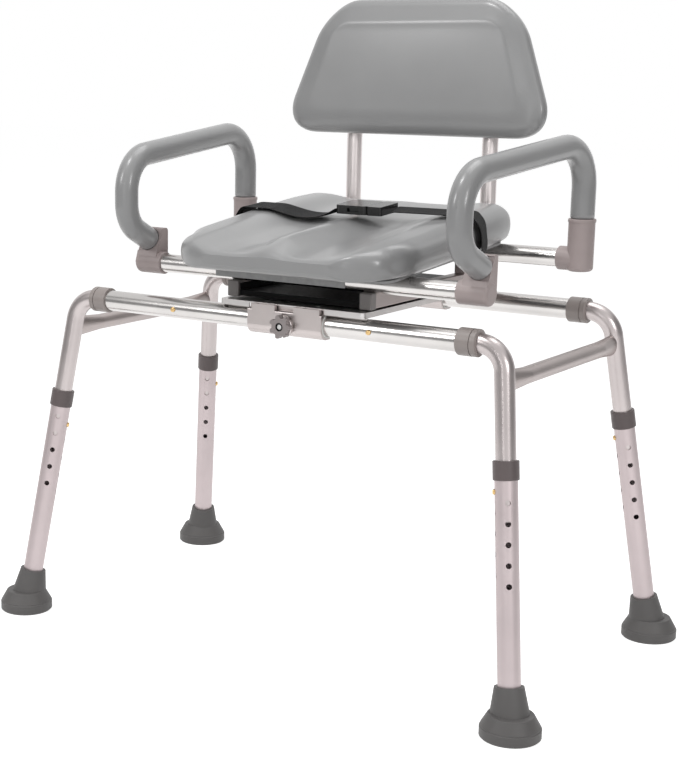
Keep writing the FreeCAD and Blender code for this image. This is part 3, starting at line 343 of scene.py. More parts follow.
@dataclass(frozen=True)
class Metal:
    """Plated or coated small metal part."""

    name: str
    colour: tuple[float, float, float]
    roughness: float
    metallic: float = 1.0
    gloss: float = 0.5
    stain: Wear = Wear(160.0, 4.0, shades=(0.85, 1.08), rough=(0.8, 1.25))

    def material(self) -> bpy.types.Material:
        """Build the finish.

        Returns:
            The material.
        """
        recipe = Recipe(self.name)
        self.stain.apply(recipe, self.colour, self.roughness)
        recipe.set(Metallic=self.metallic, Specular_IOR_Level=self.gloss)
        return recipe.material


@dataclass(frozen=True)
class KnobFinish:
    """Grey moulded knob with a dark ring painted in its dish as the recess's shade, and a bright bolt in the
    middle. Metres.
    """

    name: str
    colour: tuple[float, float, float]
    middle: tuple[float, float] = (0.0295, 0.464)
    bolt: float = 0.0031
    bolt_colour: tuple[float, float, float] = (0.62, 0.62, 0.61)
    # Radius and colour of the dark ring in the dish: painted shade of the recess.
    dish_shade: float = 0.0056
    dish_shade_colour: tuple[float, float, float] = (0.015, 0.015, 0.015)
    roughness: float = 0.36
    rough: tuple[float, float] = (0.9, 1.1)
    grain: float = 0.00005
    grain_scale: float = 1400.0

    def material(self) -> bpy.types.Material:
        """Build the finish.

        Returns:
            The material.
        """
        recipe = Recipe(self.name)
        split = recipe.add("SeparateXYZ")
        recipe.join(recipe.place(), split.inputs["Vector"])
        squares = []
        for axis, centre in zip(("X", "Z"), self.middle):
            offset = recipe.add("Math", operation="SUBTRACT")
            recipe.join(split.outputs[axis], offset.inputs[0])
            offset.inputs[1].default_value = centre
            squares.append(recipe.combine("MULTIPLY", offset.outputs["Value"], offset.outputs["Value"]))
        out = recipe.add("Math", operation="SQRT")
        recipe.join(recipe.combine("ADD", *squares), out.inputs[0])
        zone = recipe.add("MapRange")
        reach = self.dish_shade * 2.0
        zone.inputs["From Max"].default_value = reach
        recipe.join(out.outputs["Value"], zone.inputs["Value"])
        inner, outer = self.bolt / reach, self.dish_shade / reach
        # The bolt is bright metal; the ring around it is painted shade of the recess.
        tone = recipe.ramp(zone.outputs["Result"], [
            (0.0, self.bolt_colour), (inner, self.dish_shade_colour), (outer, self.colour)])
        metal = recipe.ramp(zone.outputs["Result"], [(0.0, (1.0, 1.0, 1.0)), (inner, (0.0, 0.0, 0.0))])
        for stepped in (tone, metal):
            stepped.node.color_ramp.interpolation = "CONSTANT"
        grain = recipe.noise(recipe.place(), self.grain_scale, 2.0)
        rough = recipe.spread(grain, *(self.roughness * share for share in self.rough))
        recipe.feed(Base_Color=tone, Metallic=metal, Roughness=rough, Normal=recipe.bump(grain, self.grain))
        return recipe.material


@dataclass(frozen=True)
class Webbing:
    """Woven belt webbing: ribs across, yarn along, from the strap's own UV map in metres."""

    name: str
    colour: tuple[float, float, float]
    rib: float = 0.0013
    yarn: float = 0.0016
    uneven: float = 0.6
    uneven_scale: float = 2.0
    relief: float = 0.0004
    relief_share: float = 0.9
    ends: tuple[float, float] = (0.1, 0.9)
    shades: tuple[float, float] = (0.5, 1.8)
    roughness: float = 0.7
    gloss: float = 0.25

    def material(self) -> bpy.types.Material:
        """Build the finish.

        Returns:
            The material.
        """
        recipe = Recipe(self.name)
        uv = recipe.add("UVMap", uv_map="cloth")
        heights = []
        for direction, pitch in (("X", self.rib), ("Y", self.yarn)):
            wave = recipe.add("TexWave", bands_direction=direction)
            wave.inputs["Scale"].default_value = WAVE_PITCH / pitch
            wave.inputs["Distortion"].default_value = self.uneven
            wave.inputs["Detail Scale"].default_value = self.uneven_scale
            recipe.join(uv.outputs["UV"], wave.inputs["Vector"])
            heights.append(wave.outputs["Fac"])
        weave = recipe.combine("MULTIPLY", *heights)
        tone = recipe.ramp(weave, [(end, shade(self.colour, share))
                                   for end, share in zip(self.ends, self.shades)])
        recipe.feed(Base_Color=tone, Normal=recipe.bump(weave, self.relief, self.relief_share))
        recipe.set(Roughness=self.roughness, Specular_IOR_Level=self.gloss)
        return recipe.material


# Greys of the foam skin and of the moulded fittings.
FOAM_GREY = (0.300, 0.300, 0.302)
WARM_GREY = (0.400, 0.335, 0.328)


class Finishes:
    """All finishes of the bench, each built once."""

    def __init__(self) -> None:
        """Build every material."""
        self.rail = Aluminium("rail_aluminium", (0.58, 0.562, 0.55), 0.22, Axis.X).material()
        self.leg = Aluminium("leg_aluminium", (0.50, 0.455, 0.45), 0.32, Axis.Z).material()
        self.lower_leg = Aluminium("lower_leg_aluminium", (0.50, 0.435, 0.44), 0.42, Axis.Z).material()
        self.cross = Aluminium("brace_aluminium", (0.42, 0.375, 0.365), 0.36, Axis.Y).material()
        self.sheet = Aluminium("sheet_aluminium", (0.58, 0.56, 0.55), 0.3, Axis.Y).material()
        self.slider = Aluminium("slider_aluminium", (0.50, 0.455, 0.445), 0.34, Axis.X).material()
        self.post = Aluminium("post_aluminium", (0.80, 0.74, 0.73), 0.34, Axis.Z).material()
        self.knob = KnobFinish("knob_plastic", (0.34, 0.30, 0.295)).material()
        self.grey = Plastic("warm_grey_plastic", WARM_GREY, 0.42).material()
        self.collar = Plastic("collar_plastic", (0.335, 0.295, 0.28), 0.38).material()
        self.cap = Plastic("cap_plastic", (0.205, 0.19, 0.185), 0.40).material()
        self.dark = Plastic("dark_grey_plastic", (0.125, 0.10, 0.10), 0.42).material()
        self.rubber = Plastic("foot_rubber", (0.115, 0.11, 0.108), 0.55, grain=0.00012).material()
        self.liner = Plastic("liner_plastic", (0.75, 0.75, 0.73), 0.4).material()
        self.pad = Plastic("clamp_rubber", (0.02, 0.02, 0.02), 0.7).material()
        self.board = Plastic("board_plastic", (0.04, 0.04, 0.04), 0.55).material()
        self.buckle = Plastic("buckle_plastic", (0.012, 0.012, 0.012), 0.25, grain=0.00002).material()
        self.foam = SkinnedFoam("grey_foam_skin", FOAM_GREY).material()
        # The pan's flat, unmetallic grey is partly painted shade: it darkens the sheet to the shade under the
        # cushion.
        self.pan = Metal("pan_grey_painted_shade", (0.30, 0.30, 0.30), 0.35, 0.0).material()
        # The tray's near-black with little gloss is partly painted shade: it fills the dark seen between the
        # seat bars.
        self.black = Metal("tray_black_painted_shade", (0.004, 0.004, 0.004), 0.5, 0.0, 0.12).material()
        self.steel = Metal("zinc_steel", (0.55, 0.55, 0.55), 0.3).material()
        self.brass = Metal("button_brass", (0.70, 0.48, 0.22), 0.28).material()
        self.webbing = Webbing("black_webbing", (0.0045, 0.0045, 0.005)).material()


def dress(piece: bpy.types.Object, material: bpy.types.Material) -> None:
    """Give a piece one material.

    Args:
        piece: the piece.
        material: what it is made of.
    """
    piece.data.materials.clear()
    piece.data.materials.append(material)


def smooth_piece(name: str, bm: bmesh.types.BMesh, place: Matrix | None = None) -> bpy.types.Object:
    """Make a smooth-shaded piece of a bmesh, with its place in its mesh.

    Args:
        name: the piece's name.
        bm: the mesh, which is freed.
        place: where the mesh goes.

    Returns:
        The new object.
    """
    if place is not None:
        bmesh.ops.transform(bm, matrix=place, verts=bm.verts)
    mesh = bpy.data.meshes.new(name)
    bm.to_mesh(mesh)
    bm.free()
    for polygon in mesh.polygons:
        polygon.use_smooth = True
    piece = bpy.data.objects.new(name, mesh)
    bpy.context.scene.collection.objects.link(piece)
    return piece


def soften(piece: bpy.types.Object) -> None:
    """Round a piece's facets with one level of subdivision."""
    modifier = piece.modifiers.new("soften", "SUBSURF")
    modifier.levels = modifier.render_levels = 1


def foam_piece(name: str, bm: bmesh.types.BMesh, place: Matrix, material: bpy.types.Material,
               body: str, node: str) -> bpy.types.Object:
    """Make a piece of skinned foam that stands for a solid.

    Args:
        name: the piece's name.
        bm: the mesh, which is freed.
        place: where the mesh goes.
        material: the foam's skin.
        body: what it moves with.
        node: the solid that it stands for.

    Returns:
        The new piece.
    """
    bmesh.ops.recalc_face_normals(bm, faces=bm.faces)
    piece = smooth_piece(name, bm, place)
    dress(piece, material)
    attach(piece, body)
    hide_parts(node)
    return piece


def smoothstep(value: float, low: float, high: float) -> float:
    """Ease from 0 at low to 1 at high."""
    share = min(max((value - low) / (high - low), 0.0), 1.0)
    return share * share * (3.0 - 2.0 * share)


def bell(value: float, width: float) -> float:
    """Bell curve of 1 at zero."""
    return math.exp(-((value / width) ** 2))


@dataclass(frozen=True)
class Station:
    """One cross-section of the cushion. Every value is a share of the cushion's depth, width or height."""

    depth: float
    half: float
    under: float
    rim: float
    channel: float
    ridge: float


STATIONS = (
    Station(0.000, 0.560, 0.20, 0.52, 0.47, 0.52),
    Station(0.012, 0.660, 0.07, 0.64, 0.54, 0.64),
    Station(0.035, 0.770, 0.00, 0.72, 0.58, 0.74),
    Station(0.075, 0.870, 0.00, 0.77, 0.60, 0.82),
    Station(0.140, 0.950, 0.00, 0.82, 0.62, 0.90),
    Station(0.240, 0.995, 0.00, 0.87, 0.65, 0.92),
    Station(0.400, 1.000, 0.00, 0.93, 0.70, 0.92),
    Station(0.620, 0.995, 0.00, 1.03, 0.82, 0.92),
    Station(0.820, 0.985, 0.00, 1.08, 0.91, 0.95),
    Station(0.930, 0.960, 0.01, 1.07, 0.95, 0.97),
    Station(0.980, 0.900, 0.10, 0.92, 0.84, 0.86),
    Station(1.000, 0.810, 0.28, 0.66, 0.62, 0.64),
)


def eased(depth: float, name: str) -> float:
    """Monotone cubic through one value of the stations.

    Args:
        depth: share of the cushion's depth.
        name: which value of the stations.

    Returns:
        The value at that depth.
    """
    places = [station.depth for station in STATIONS]
    values = [getattr(station, name) for station in STATIONS]
    slopes = [(values[i + 1] - values[i]) / (places[i + 1] - places[i]) for i in range(len(places) - 1)]
    leans = [slopes[0]]
    for before, after in zip(slopes, slopes[1:]):
        leans.append(2.0 * before * after / (before + after) if before * after > 0.0 else 0.0)
    leans.append(slopes[-1])
    i = min(max(bisect.bisect_right(places, depth) - 1, 0), len(slopes) - 1)
    run = places[i + 1] - places[i]
    s = min(max((depth - places[i]) / run, 0.0), 1.0)
    rise = 3.0 * s ** 2 - 2.0 * s ** 3
    return ((1.0 - rise) * values[i] + rise * values[i + 1]
            + (s ** 3 - 2.0 * s ** 2 + s) * run * leans[i] + (s ** 3 - s ** 2) * run * leans[i + 1])


@lru_cache(maxsize=None)
def station_at(depth: float) -> Station:
    """Cross-section at any share of the cushion's depth."""
    names = ("half", "under", "rim", "channel", "ridge")
    return Station(depth, *(eased(depth, name) for name in names))


def raw_block(cuts: int) -> bmesh.types.BMesh:
    """Subdivided block of side 2 about the origin.

    Args:
        cuts: new edge loops on each side.

    Returns:
        The mesh.
    """
    bm = bmesh.new()
    bmesh.ops.create_cube(bm, size=2.0)
    bmesh.ops.subdivide_edges(bm, edges=bm.edges[:], cuts=cuts, use_grid_fill=True)
    return bm


def round_off(radius: float, gone: float, depth: float) -> tuple[float, float]:
    """Round a square edge.

    Args:
        radius: of the edge.
        gone: how far a point has come past the start of the rounding, towards the edge.
        depth: how far it lies in from the side wall.

    Returns:
        The shift along the first direction, and the new depth.
    """
    side = radius - depth
    if gone <= 0.0 or side <= 0.0:
        return 0.0, depth
    share = max(gone, side) / math.hypot(gone, side)
    return gone * share - gone, radius - side * share


@dataclass
class SeatPlane:
    """The seat's own axes: X across, Y to the rear, Z square to the two cross tubes."""

    middle: float = 35.0
    front_tube: float = -142.0
    tube_height: float = 525.7
    rise: float = 18.3
    run: float = 256.0
    pan_top: float = 15.7

    def matrix(self) -> Matrix:
        """Placement in metres for a shape in millimetres of the seat's axes."""
        tilt = math.atan2(self.rise, self.run)
        place = Matrix.Translation(Vector((self.middle, self.front_tube, self.tube_height)) * MM)
        return place @ Matrix.Rotation(tilt, 4, "X") @ Matrix.Scale(MM, 4)


@dataclass
class SeatCushion:
    """Contoured seat: two thigh channels with a pommel between, side rims and a raised rear."""

    plane: SeatPlane = field(default_factory=SeatPlane)
    front: float = -92.0
    rear: float = 284.0
    half_wide: float = 176.0
    tall: float = 48.0
    top_round: float = 16.0
    low_round: float = 8.0
    under_lean: float = 0.04
    rim_lean: float = 0.06
    widest: float = 0.45
    channel_edge: float = 78.0
    rim_edge: float = 128.0
    ridge_wide: float = 25.0
    carve: float = 3.0
    carve_u: float = 52.0
    carve_wide: float = 24.0
    carve_in: tuple[float, float] = (0.0, 0.05)
    carve_out: tuple[float, float] = (0.35, 0.75)
    thin_power: float = 1.5
    scoop: float = 11.0
    scoop_u: float = 170.0
    scoop_v: float = -36.0
    scoop_wide: float = 24.0
    scoop_long: float = 15.0
    scoop_level: float = 0.6
    cuts: int = 56

    def share(self, v: float) -> float:
        """Share of the depth, from the front edge to the rear."""
        return (v - self.front) / (self.rear - self.front)

    def height(self, u: float, v: float) -> float:
        """Top of the cushion above the pan, in millimetres.

        Args:
            u: place across, from the middle.
            v: place along the depth.

        Returns:
            The height.
        """
        share = round(min(max(self.share(v), 0.0), 1.0), SHARE_DIGITS)
        row = station_at(share)
        top = row.channel + (row.rim - row.channel) * smoothstep(abs(u), self.channel_edge, self.rim_edge)
        top += (row.ridge - row.channel) * bell(u, self.ridge_wide)
        carve = self.carve * bell(abs(u) - self.carve_u, self.carve_wide)
        carve *= smoothstep(share, *self.carve_in) * (1.0 - smoothstep(share, *self.carve_out))
        return self.tall * top - carve

    def section(self, across: float, level: float, row: Station) -> tuple[float, float]:
        """Place on one cross-section, with its edges rounded and its sides drawn in.

        Args:
            across: from -1 to 1.
            level: from 0, the underside, to 1, the top.
            row: the cross-section.

        Returns:
            The place across, in millimetres, and the new level.
        """
        half = self.half_wide * row.half
        tall = self.tall * (row.rim - row.under)
        size = (row.rim - row.under) ** self.thin_power
        depth = half * (1.0 - abs(across))
        rise = level * tall
        top, low = self.top_round * size, self.low_round * size
        shift, depth = round_off(top, rise - (tall - top), depth)
        rise += shift
        shift, depth = round_off(low, low - rise, depth)
        rise -= shift
        level = rise / tall
        if level < self.widest:
            lean = self.under_lean * ((self.widest - level) / self.widest) ** 2
        else:
            lean = self.rim_lean * ((level - self.widest) / (1.0 - self.widest)) ** 2
        return math.copysign((half - depth) * (1.0 - lean), across), level

    def build(self, material: bpy.types.Material) -> bpy.types.Object:
        """Model and dress the cushion.

        Args:
            material: the foam's skin.

        Returns:
            The cushion.
        """
        bm = raw_block(self.cuts)
        for vert in bm.verts:
            share = round((1.0 - math.cos(math.pi * (vert.co.y + 1.0) / 2.0)) / 2.0, SHARE_DIGITS)
            row = station_at(share)
            u, level = self.section(vert.co.x, (vert.co.z + 1.0) / 2.0, row)
            v = self.front + (self.rear - self.front) * share
            under = self.tall * row.under
            w = self.plane.pan_top + under + (self.height(u, v) - under) * level
            hollow = bell(abs(u) - self.scoop_u, self.scoop_wide) * bell(v - self.scoop_v, self.scoop_long)
            u -= math.copysign(self.scoop * hollow * smoothstep(level, 0.0, self.scoop_level), u)
            vert.co = Vector((u, v, w))
        piece = foam_piece("seat_cushion_skin", bm, self.plane.matrix(), material, "seat", "seat_cushion")
        soften(piece)
        return piece


@dataclass
class BackPad:
    """Back pad: a rounded trapezium with a raised field and sloping borders, softer at the bottom."""

    middle: float = 35.0
    post_y: float = 161.0
    bend_z: float = 690.0
    lean_deg: float = 6.0
    post_radius: float = 11.1
    board: float = 6.0
    thick: float = 27.0
    low: float = 5.0
    high: float = 194.0
    low_half: float = 219.0
    top_half: float = 148.0
    low_radius: float = 50.0
    top_radius: float = 60.0
    edge_radius: float = 11.0
    border: float = 32.8
    fall: float = 7.5
    ridge: float = 0.35
    ridge_wide: float = 6.0
    fade_low: float = 0.14
    fade_high: float = 0.36
    belly: float = 1.5
    cuts: int = 56

    def corner(self, unit: Vector) -> tuple[Vector, float]:
        """Place of a point of the raw block, with the corners and edges rounded.

        Args:
            unit: point on the block of side 2.

        Returns:
            The place, with Z as the depth into the pad, and its depth in from the side wall.
        """
        half_wide = (self.low_half + self.top_half) / 2.0
        half_tall = (self.high - self.low) / 2.0
        radius = self.low_radius + (self.top_radius - self.low_radius) * (unit.y + 1.0) / 2.0
        x, y = unit.x * half_wide, unit.y * half_tall
        z = (unit.z + 1.0) / 2.0 * self.thick
        core_x = min(max(x, radius - half_wide), half_wide - radius)
        core_y = min(max(y, radius - half_tall), half_tall - radius)
        out = Vector((x - core_x, y - core_y, 0.0))
        if out.length < TINY:
            return Vector((x, y, z)), radius
        depth = radius - max(abs(out.x), abs(out.y))
        edge = self.edge_radius
        shift, depth = round_off(edge, z - (self.thick - edge), depth)
        z += shift
        shift, depth = round_off(edge, edge - z, depth)
        z -= shift
        return Vector((core_x, core_y, z)) + out.normalized() * (radius - depth), depth

    def build(self, material: bpy.types.Material) -> bpy.types.Object:
        """Model and dress the pad.

        Args:
            material: the foam's skin.

        Returns:
            The pad.
        """
        half_tall = (self.high - self.low) / 2.0
        half_wide = (self.low_half + self.top_half) / 2.0
        back = -self.post_radius - self.board
        bm = raw_block(self.cuts)
        for vert in bm.verts:
            place, depth = self.corner(vert.co)
            level = place.z / self.thick
            share = (place.y + half_tall) / (2.0 * half_tall)
            taper = (self.low_half + (self.top_half - self.low_half) * share) / half_wide
            sharp = smoothstep(share, self.fade_low, self.fade_high)
            drop = max(0.0, 1.0 - depth / self.border)
            slope = self.fall * drop * (sharp + (1.0 - sharp) * drop)
            crease = self.ridge * sharp * bell(depth - self.border, self.ridge_wide)
            crown = self.belly * bell(place.x, half_wide) * bell(place.y, half_tall)
            forward = place.z - (slope - crease - crown) * level
            vert.co = Vector((place.x * taper, back - forward, place.y + half_tall + self.low))
        place = Matrix.Translation(Vector((self.middle, self.post_y, self.bend_z)) * MM)
        place = place @ Matrix.Rotation(-math.radians(self.lean_deg), 4, "X") @ Matrix.Scale(MM, 4)
        piece = foam_piece("back_pad_skin", bm, place, material, "seat", "back_pad")
        soften(piece)
        return piece


@dataclass
class ArmSleeve:
    """Foam sleeve of an arm, bent as its tube is, with a closed rounded tip. Millimetres."""

    side: Side
    middle: float = 35.0
    hinge_x: float = 272.6
    front_x: float = 256.7
    hinge_y: float = 114.0
    tee_y: float = -142.0
    radius: float = 16.0
    start_z: float = 598.3
    top: tuple[float, float] = (0.0, 699.0)
    front_top: tuple[float, float] = (312.0, 671.5)
    front_low: tuple[float, float] = (312.0, 584.0)
    tip: tuple[float, float] = (257.0, 556.3)
    bends: tuple[float, float, float] = (55.0, 50.0, 42.0)
    round_tip: float = 4.0
    tip_core: float = 0.45
    end_round: float = 1.5
    sides: int = 40
    run_rings: int = 8
    bend_rings: int = 14
    last_rings: int = 3
    tip_rings: int = 4
    weld: float = 0.01

    def matrix(self) -> Matrix:
        """Placement in metres: Y of the shape runs forward along the arm, Z is up."""
        toe = math.atan2(self.hinge_x - self.front_x, self.hinge_y - self.tee_y)
        sign = self.side.value
        x = self.middle + sign * self.hinge_x
        place = Matrix.Translation(Vector((x, self.hinge_y, 0.0)) * MM)
        return place @ Matrix.Rotation(math.pi - sign * toe, 4, "Z") @ Matrix.Scale(MM, 4)

    def build(self, material: bpy.types.Material) -> bpy.types.Object:
        """Model and dress the sleeve.

        Args:
            material: the foam's skin.

        Returns:
            The sleeve.
        """
        bm = bmesh.new()
        ring = bmesh.ops.create_circle(bm, segments=self.sides, radius=self.radius - self.end_round)["verts"]
        bmesh.ops.translate(bm, vec=(0.0, 0.0, self.start_z), verts=ring)
        edges = bm.edges[:]
        edges = self.extrude(bm, edges, Vector((0.0, 0.0, self.end_round)),
                             self.radius / (self.radius - self.end_round))
        points = [Vector((0.0, a, z)) for a, z in
                  ((0.0, self.start_z + self.end_round), self.top, self.front_top, self.front_low, self.tip)]
        here = points[0]
        for index, radius in enumerate(self.bends, 1):
            before = (points[index] - points[index - 1]).normalized()
            after = (points[index + 1] - points[index]).normalized()
            turn = before.angle(after)
            reach = radius * math.tan(turn / 2.0)
            start = points[index] - before * reach
            axis = before.cross(after).normalized()
            inward = axis.cross(before).normalized()
            edges = self.extrude(bm, edges, start - here, 1.0, self.run_rings)
            spun = bmesh.ops.spin(bm, geom=edges, cent=start + inward * radius, axis=axis, dvec=(0, 0, 0),
                                  angle=turn, steps=self.bend_rings, use_merge=False,
                                  use_normal_flip=False, use_duplicate=False)
            edges = [e for e in spun["geom_last"] if isinstance(e, bmesh.types.BMEdge)]
            here = points[index] + after * reach
        along = (points[-1] - here).normalized()
        edges = self.extrude(bm, edges, points[-1] - here - along * self.round_tip, 1.0, self.last_rings)
        done, width = 0.0, 1.0
        for step in range(1, self.tip_rings + 1):
            angle = step / self.tip_rings * math.pi / 2.0
            reach = self.round_tip * math.sin(angle)
            size = 1.0 - self.round_tip / self.radius * (1.0 - math.cos(angle))
            edges = self.extrude(bm, edges, along * (reach - done), size / width)
            done, width = reach, size
        edges = self.extrude(bm, edges, Vector((0.0, 0.0, 0.0)), self.tip_core)
        bmesh.ops.contextual_create(bm, geom=edges)
        bmesh.ops.remove_doubles(bm, verts=bm.verts, dist=self.weld)
        side = self.side.name.lower()
        return foam_piece("arm_sleeve_" + side, bm, self.matrix(), material, "arm_" + side,
                          "arm_foam_" + side)

    def extrude(self, bm: bmesh.types.BMesh, edges: list[bmesh.types.BMEdge], move: Vector, grow: float,
                steps: int = 1) -> list[bmesh.types.BMEdge]:
        """Extrude a ring of edges.

        Args:
            bm: the mesh.
            edges: the ring.
            move: how far it goes in all.
            grow: scale of the last ring about its middle.
            steps: rings on the way.

        Returns:
            The last ring.
        """
        for _ in range(steps):
            made = bmesh.ops.extrude_edge_only(bm, edges=edges)["geom"]
            verts = [item for item in made if isinstance(item, bmesh.types.BMVert)]
            edges = [item for item in made if isinstance(item, bmesh.types.BMEdge)]
            bmesh.ops.translate(bm, vec=move / steps, verts=verts)
            centre = sum((vert.co for vert in verts), Vector()) / len(verts)
            for vert in verts:
                vert.co = centre + (vert.co - centre) * grow
        return edges


@dataclass
class LapBelt:
    """Two straps of webbing laid over the cushion, from under the pan to the buckle."""

    cushion: SeatCushion
    wide: float = 50.0
    thick: float = 1.5
    lift: float = 1.4
    place_v: float = 126.0
    side_u: float = 181.0
    under_w: float = 11.6
    feel: float = 24.0
    fall: float = 15.0
    fall_long: float = 16.0
    side_drop: float = 12.0
    tuck: tuple[tuple[float, float], ...] = ((2.0, 12.0), (1.0, 4.0), (-4.0, 0.0), (-38.0, 0.0))
    curl: float = 0.6
    steps: int = 30
    rows: int = 6
    belt_share: float = 1.07
    strap_over: float = 3.0
    buckle_start: float = -14.0
    buckle_end: float = 57.3
    right_deg: float = 18.0
    right_reach: float = 118.0
    left_taut: int = 6
    right_taut: int = 400

    def top(self, u: float, v: float) -> float:
        """Height of the cushion's top on the seat's axes."""
        return self.cushion.plane.pan_top + self.cushion.height(u, v)

    def strap(self, name: str, start: Vector, heading: float, reach: float, buckle_w: float, passes: int,
              body: str, node: str, material: bpy.types.Material) -> bpy.types.Object:
        """Model one strap, from its buckle out over the rim and round under the pan.

        Args:
            name: the piece's name.
            start: its end at the buckle, on the seat's axes.
            heading: direction in plan, in radians.
            reach: distance in plan to where it drops down the side.
            buckle_w: height at the buckle.
            passes: how often the strap is pulled straighter over the hollows.
            body: what it moves with.
            node: the solid that it stands for.
            material: the webbing.

        Returns:
            The strap.
        """
        along = Vector((math.cos(heading), math.sin(heading), 0.0))
        across = Vector((-along.y, along.x, 0.0))
        line = []
        for i in range(self.steps + 1):
            gone = reach * i / self.steps
            at = start + along * gone
            surface = max(self.top(at.x + across.x * k, at.y + across.y * k)
                          for k in (-self.feel, 0.0, self.feel))
            drop = smoothstep(gone, reach - self.fall_long, reach)
            line.append([gone, surface + self.lift - self.fall * drop * drop])
        line[0][1] = buckle_w
        for _ in range(passes):
            for i in range(1, self.steps):
                taut = (line[i - 1][1] + line[i + 1][1]) / 2.0
                line[i][1] = max(line[i][1], taut)
        track = [*line, (reach + self.tuck[0][0], line[-1][1] - self.side_drop)]
        track += [(reach + out, self.under_w + up) for out, up in self.tuck]
        last = len(track) - 1
        bm = bmesh.new()
        uv_layer = bm.loops.layers.uv.new("cloth")
        bmesh.ops.create_grid(bm, x_segments=last, y_segments=self.rows, size=0.5)
        lengths = [0.0]
        for first, second in zip(track, track[1:]):
            lengths.append(lengths[-1] + math.dist(first, second))
        for face in bm.faces:
            for loop in face.loops:
                step = round((loop.vert.co.x + 0.5) * last)
                loop[uv_layer].uv = (lengths[step] * MM, (loop.vert.co.y + 0.5) * self.wide * MM)
        for vert in bm.verts:
            step = round((vert.co.x + 0.5) * last)
            gone, w = track[step]
            offset = across * (vert.co.y * self.wide)
            if step < self.steps:
                w += self.curl * (vert.co.y * 2.0) ** 2
            vert.co = start + along * gone + offset + Vector((0.0, 0.0, w))
        bmesh.ops.recalc_face_normals(bm, faces=bm.faces)
        piece = smooth_piece(name, bm, self.cushion.plane.matrix())
        webbing = piece.modifiers.new("webbing", "SOLIDIFY")
        webbing.thickness = self.thick * MM
        webbing.offset = 0.0
        soften(piece)
        dress(piece, material)
        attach(piece, body)
        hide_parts(node)
        return piece

    def build(self, material: bpy.types.Material) -> list[bpy.types.Object]:
        """Model and dress both straps.

        Args:
            material: the webbing.

        Returns:
            The two straps.
        """
        base = self.cushion.plane.pan_top + self.cushion.tall * self.belt_share + 2.0 * self.strap_over
        left = self.strap("lap_strap_left", Vector((self.buckle_start, self.place_v, 0.0)), math.pi,
                          self.side_u + self.buckle_start, base, self.left_taut, "seat",
                          "belt_strap_left", material)
        heading = math.radians(self.right_deg)
        start = Vector((self.buckle_end + self.wide / 2.0 * math.sin(heading), self.place_v, 0.0))
        right = self.strap("lap_strap_right", start, heading, self.right_reach, base, self.right_taut,
                           "buckle", "belt_strap_right", material)
        return [left, right]


@dataclass(frozen=True)
class Lamp:
    """Soft rectangular lamp that faces the bench. Metres and watts."""

    name: str
    place: tuple[float, float, float]
    size: tuple[float, float]
    power: float


LAMPS = (
    Lamp("key", (-1.5, -2.5, 2.0), (0.45, 0.9), 22.0),
    Lamp("fill", (2.7, -1.2, 1.6), (0.4, 0.9), 20.0),
    Lamp("top", (0.1, 0.6, 3.0), (1.6, 1.6), 24.0),
    Lamp("crest", (-0.4, -0.9, 2.5), (0.4, 0.4), 12.0),
    Lamp("strip", (0.3, -3.3, 1.2), (0.22, 1.8), 5.0),
)


